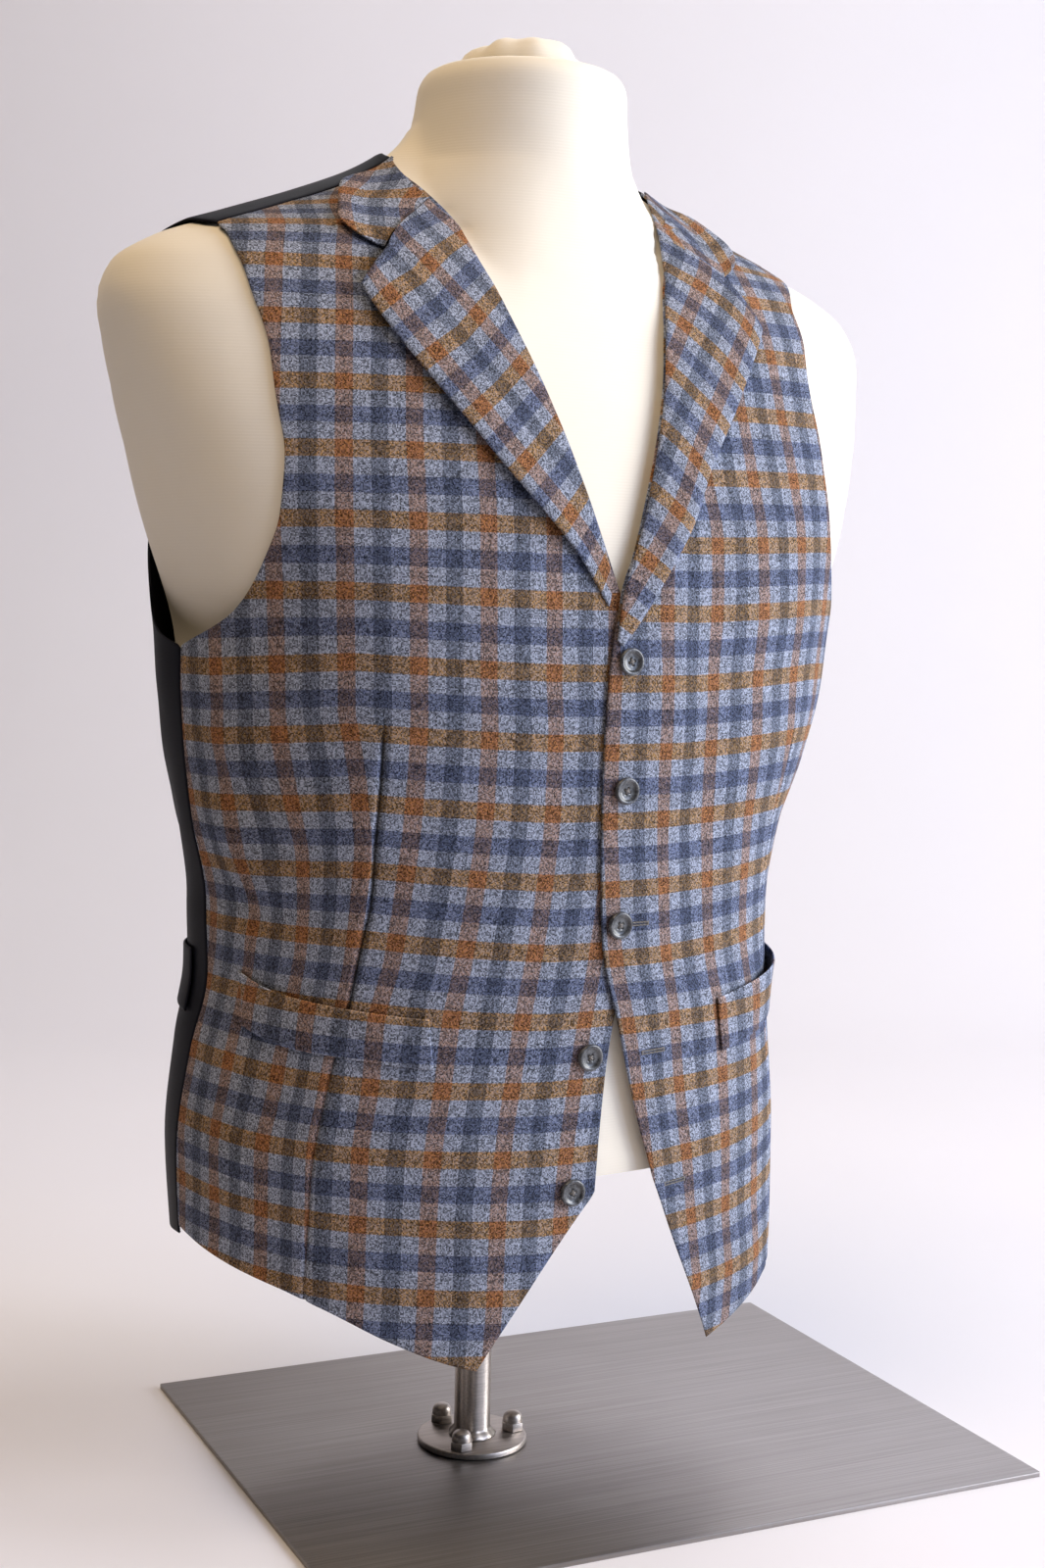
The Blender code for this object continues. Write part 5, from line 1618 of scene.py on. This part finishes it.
def ring_edges(ring):
    found = []
    for vertex in ring:
        for line in vertex.link_edges:
            if line not in found and line.other_vert(vertex) in ring:
                found.append(line)
    return found


for number, (side, angle, height, holes_turn) in enumerate(BUTTONS, start=1):
    lift = GAP + (WRAP_LIFT if side == 0 else 0.0)
    place = seat(side * angle, height, lift)
    edit = turned(BUTTON_SECTION, (0.0, 0.0), 64, 0.0)
    bmesh.ops.transform(edit, verts=edit.verts, matrix=place)
    button = solid(f"button_{number}_disc", edit, horn)
    turns = [math.radians(holes_turn + 90 * k) for k in range(4)]
    holes = [Vector((HOLE_OUT * math.cos(t), HOLE_OUT * math.sin(t), 0)) for t in turns]
    cutter_edit = bmesh.new()
    for hole in holes:
        bmesh.ops.create_cone(
            cutter_edit, cap_ends=True, segments=20, radius1=HOLE_RADIUS, radius2=HOLE_RADIUS,
            depth=0.02, matrix=place @ Matrix.Translation(hole),
        )
    cutter = solid(f"button_{number}_holes", cutter_edit, horn)
    cut = button.modifiers.new("holes", "BOOLEAN")
    cut.operation = "DIFFERENCE"
    cut.solver = "EXACT"
    cut.object = cutter
    bpy.context.view_layer.update()
    evaluated = button.evaluated_get(bpy.context.evaluated_depsgraph_get())
    drilled = bpy.data.meshes.new_from_object(evaluated)
    button.modifiers.clear()
    button.data = drilled
    bpy.data.objects.remove(cutter)
    belongs(button, "horn_grey", f"button_{number}")

    sewing = bmesh.new()
    for over in (0, 1):
        start, end = holes[over], holes[over + 2]
        for aside in (-THREAD_RADIUS, THREAD_RADIUS):
            across = (end - start).normalized().cross(Vector((0, 0, 1))) * aside
            points = [start + across + Vector((0, 0, THREAD_FOOT))]
            for t in np.linspace(0, 1, 7):
                rise = THREAD_RISE + THREAD_BOW * math.sin(math.pi * t) + THREAD_OVER * over
                points.append(start.lerp(end, t) + across + Vector((0, 0, rise)))
            points.append(end + across + Vector((0, 0, THREAD_FOOT)))
            tube(sewing, [place @ p for p in points], THREAD_RADIUS)
    bmesh.ops.recalc_face_normals(sewing, faces=sewing.faces)
    belongs(solid(f"button_{number}_thread", sewing, thread, 60), "horn_grey")

# ------------------------------------------------------------------ buttonholes
# Short slits with a sewn edge in grey thread, two of them open on the left front and one
# just showing beside the third button.
BUTTONHOLES = (
    # angle, height, length, slope in degrees
    (6.9, 0.2670, 0.015, 2),
    (12.8, 0.1900, 0.015, 4),
    (3.2, 0.3390, 0.012, 0),
)
# The sewn edge: half the slit's width, how far and over how many steps the stitches
# waver, how high they lie and how thick they are. A bar closes each end.
SLIT_HALF = 0.00075
STITCH_WAVER = 0.00025
STITCH_STEPS = 52
STITCH_RISE = 0.0002
STITCH_RADIUS = 0.0004
BAR_HALF = 0.0012
BAR_RISE = 0.00025
BAR_RADIUS = 0.00045

hole_thread = twisted(
    "buttonhole_thread", 0.75, 2200, (0.09, 0.085, 0.08), (0.30, 0.28, 0.25), 0.8
)

for number, (angle, height, length, slope) in enumerate(BUTTONHOLES, start=1):
    place = seat(angle, height, float(wrap_lift(np.array(angle))) + 0.0001)
    place = place @ Matrix.Rotation(math.radians(slope), 4, "Z")
    edit = bmesh.new()
    for side in (-1, 1):
        points = []
        for k in range(STITCH_STEPS + 1):
            along = (k / STITCH_STEPS - 0.5) * length
            off = side * (SLIT_HALF + STITCH_WAVER * math.sin(k * math.pi * 0.9))
            points.append(place @ Vector((along, off, STITCH_RISE)))
        tube(edit, points, STITCH_RADIUS, 5)
    for end in (-1, 1):
        points = []
        for t in (-1, -0.5, 0, 0.5, 1):
            points.append(place @ Vector((end * length / 2, BAR_HALF * t, BAR_RISE)))
        tube(edit, points, BAR_RADIUS, 5)
    bmesh.ops.recalc_face_normals(edit, faces=edit.faces)
    belongs(solid(f"buttonhole_{number}", edit, hole_thread, 60), "wool_check")

# ------------------------------------------------------------------ room, light and camera
# A pale floor that curves up behind. A window and the sky light it softly from the
# wearer's left, a warm lamp from high up on the right, and a weak light from behind.
CAMERA_PLACE = Vector((-0.6401, -1.1072, 0.518))
CAMERA_YAW = math.radians(31)
CAMERA_PITCH = math.radians(5)
CAMERA_ROLL = math.radians(1.36)
# The floor, measured from the stand along the camera's view: where it starts, where it
# bends up and how wide the bend is, where the wall stands, and half the width of both.
FLOOR_NEAR = -2.6
FLOOR_BEND = 1.2
BEND_RADIUS = 0.8
BEND_ROWS = 33
WALL_AT = FLOOR_BEND + BEND_RADIUS
WALL_ROWS = 6
WALL_TOP = 6.0
FLOOR_HALF = 3.4
WORLD_COLOUR = (0.84, 0.84, 0.90, 1.0)

paper = Finish("pale_paper", Roughness=0.9)
cloudy = paper.noise(paper.place(), 1.6, 3)
paper.use("Base Color", paper.mix(cloudy, (0.75, 0.74, 0.79), (0.80, 0.79, 0.84)))

ahead = Vector((math.sin(CAMERA_YAW), math.cos(CAMERA_YAW), 0))
right = Vector((math.cos(CAMERA_YAW), -math.sin(CAMERA_YAW), 0))
profile = [(FLOOR_NEAR, 0.0), (FLOOR_BEND, 0.0)]
for k in range(1, BEND_ROWS):
    turn = math.pi / 2 * k / BEND_ROWS
    depth = FLOOR_BEND + BEND_RADIUS * math.sin(turn)
    profile.append((depth, BEND_RADIUS - BEND_RADIUS * math.cos(turn)))
for k in range(1, WALL_ROWS + 1):
    profile.append((WALL_AT, BEND_RADIUS + 0.5 * k))
profile.append((WALL_AT, WALL_TOP))
floor_edit, floor_at = grid(2, len(profile) - 1)
for vertex, (row, column) in zip(floor_edit.verts, floor_at):
    depth, rise = profile[row]
    vertex.co = ahead * depth + right * (column - 1) * FLOOR_HALF + Vector((0, 0, rise))
backdrop = solid("floor", floor_edit, paper, 60)

LIGHTS = (
    # name, place, height aimed at on the centre line, size, power, colour
    ("window", (2.17, -1.26, 1.12), 0.45, (1.5, 1.8), 80, (1.0, 1.0, 1.0)),
    ("sky", (1.50, -1.92, 1.25), 0.45, (1.5, 1.8), 36, (0.60, 0.72, 1.0)),
    ("lamp", (-0.78, -0.45, 2.67), 0.45, (1.5, 1.8), 41, (1.0, 0.78, 0.54)),
    ("behind", (1.1, 1.45, 2.3), 0.35, (1.5, 1.2), 18, (0.97, 0.97, 1.0)),
)
for name, place, aim, size, power, colour in LIGHTS:
    lamp = bpy.data.lights.new(name, "AREA")
    lamp.shape = "RECTANGLE"
    lamp.size, lamp.size_y = size
    lamp.energy = power
    lamp.color = colour
    made = bpy.data.objects.new(name, lamp)
    made.location = place
    made.rotation_mode = "QUATERNION"
    made.rotation_quaternion = (Vector((0, 0, aim)) - Vector(place)).to_track_quat("-Z", "Y")
    bpy.context.collection.objects.link(made)

world = bpy.data.worlds.new("room")
bpy.context.scene.world = world
world.use_nodes = True
background = world.node_tree.nodes["Background"]
background.inputs["Color"].default_value = WORLD_COLOUR
background.inputs["Strength"].default_value = 1.0
world.cycles_visibility.diffuse = False
world.cycles_visibility.glossy = False
bpy.context.scene.view_settings.view_transform = "Standard"

forward = Vector((
    math.sin(CAMERA_YAW) * math.cos(CAMERA_PITCH),
    math.cos(CAMERA_YAW) * math.cos(CAMERA_PITCH),
    -math.sin(CAMERA_PITCH),
))
upward = right.cross(forward)
rolled_right = right * math.cos(CAMERA_ROLL) + upward * math.sin(CAMERA_ROLL)
rolled_up = upward * math.cos(CAMERA_ROLL) - right * math.sin(CAMERA_ROLL)
lens = bpy.data.cameras.new("camera")
lens.sensor_fit = "VERTICAL"
lens.sensor_height = 36
lens.lens = 49.5
lens.clip_end = 50
camera = bpy.data.objects.new("camera", lens)
turn = Matrix((rolled_right, rolled_up, -forward)).transposed().to_4x4()
camera.matrix_world = Matrix.Translation(CAMERA_PLACE) @ turn
bpy.context.collection.objects.link(camera)
bpy.context.scene.camera = camera
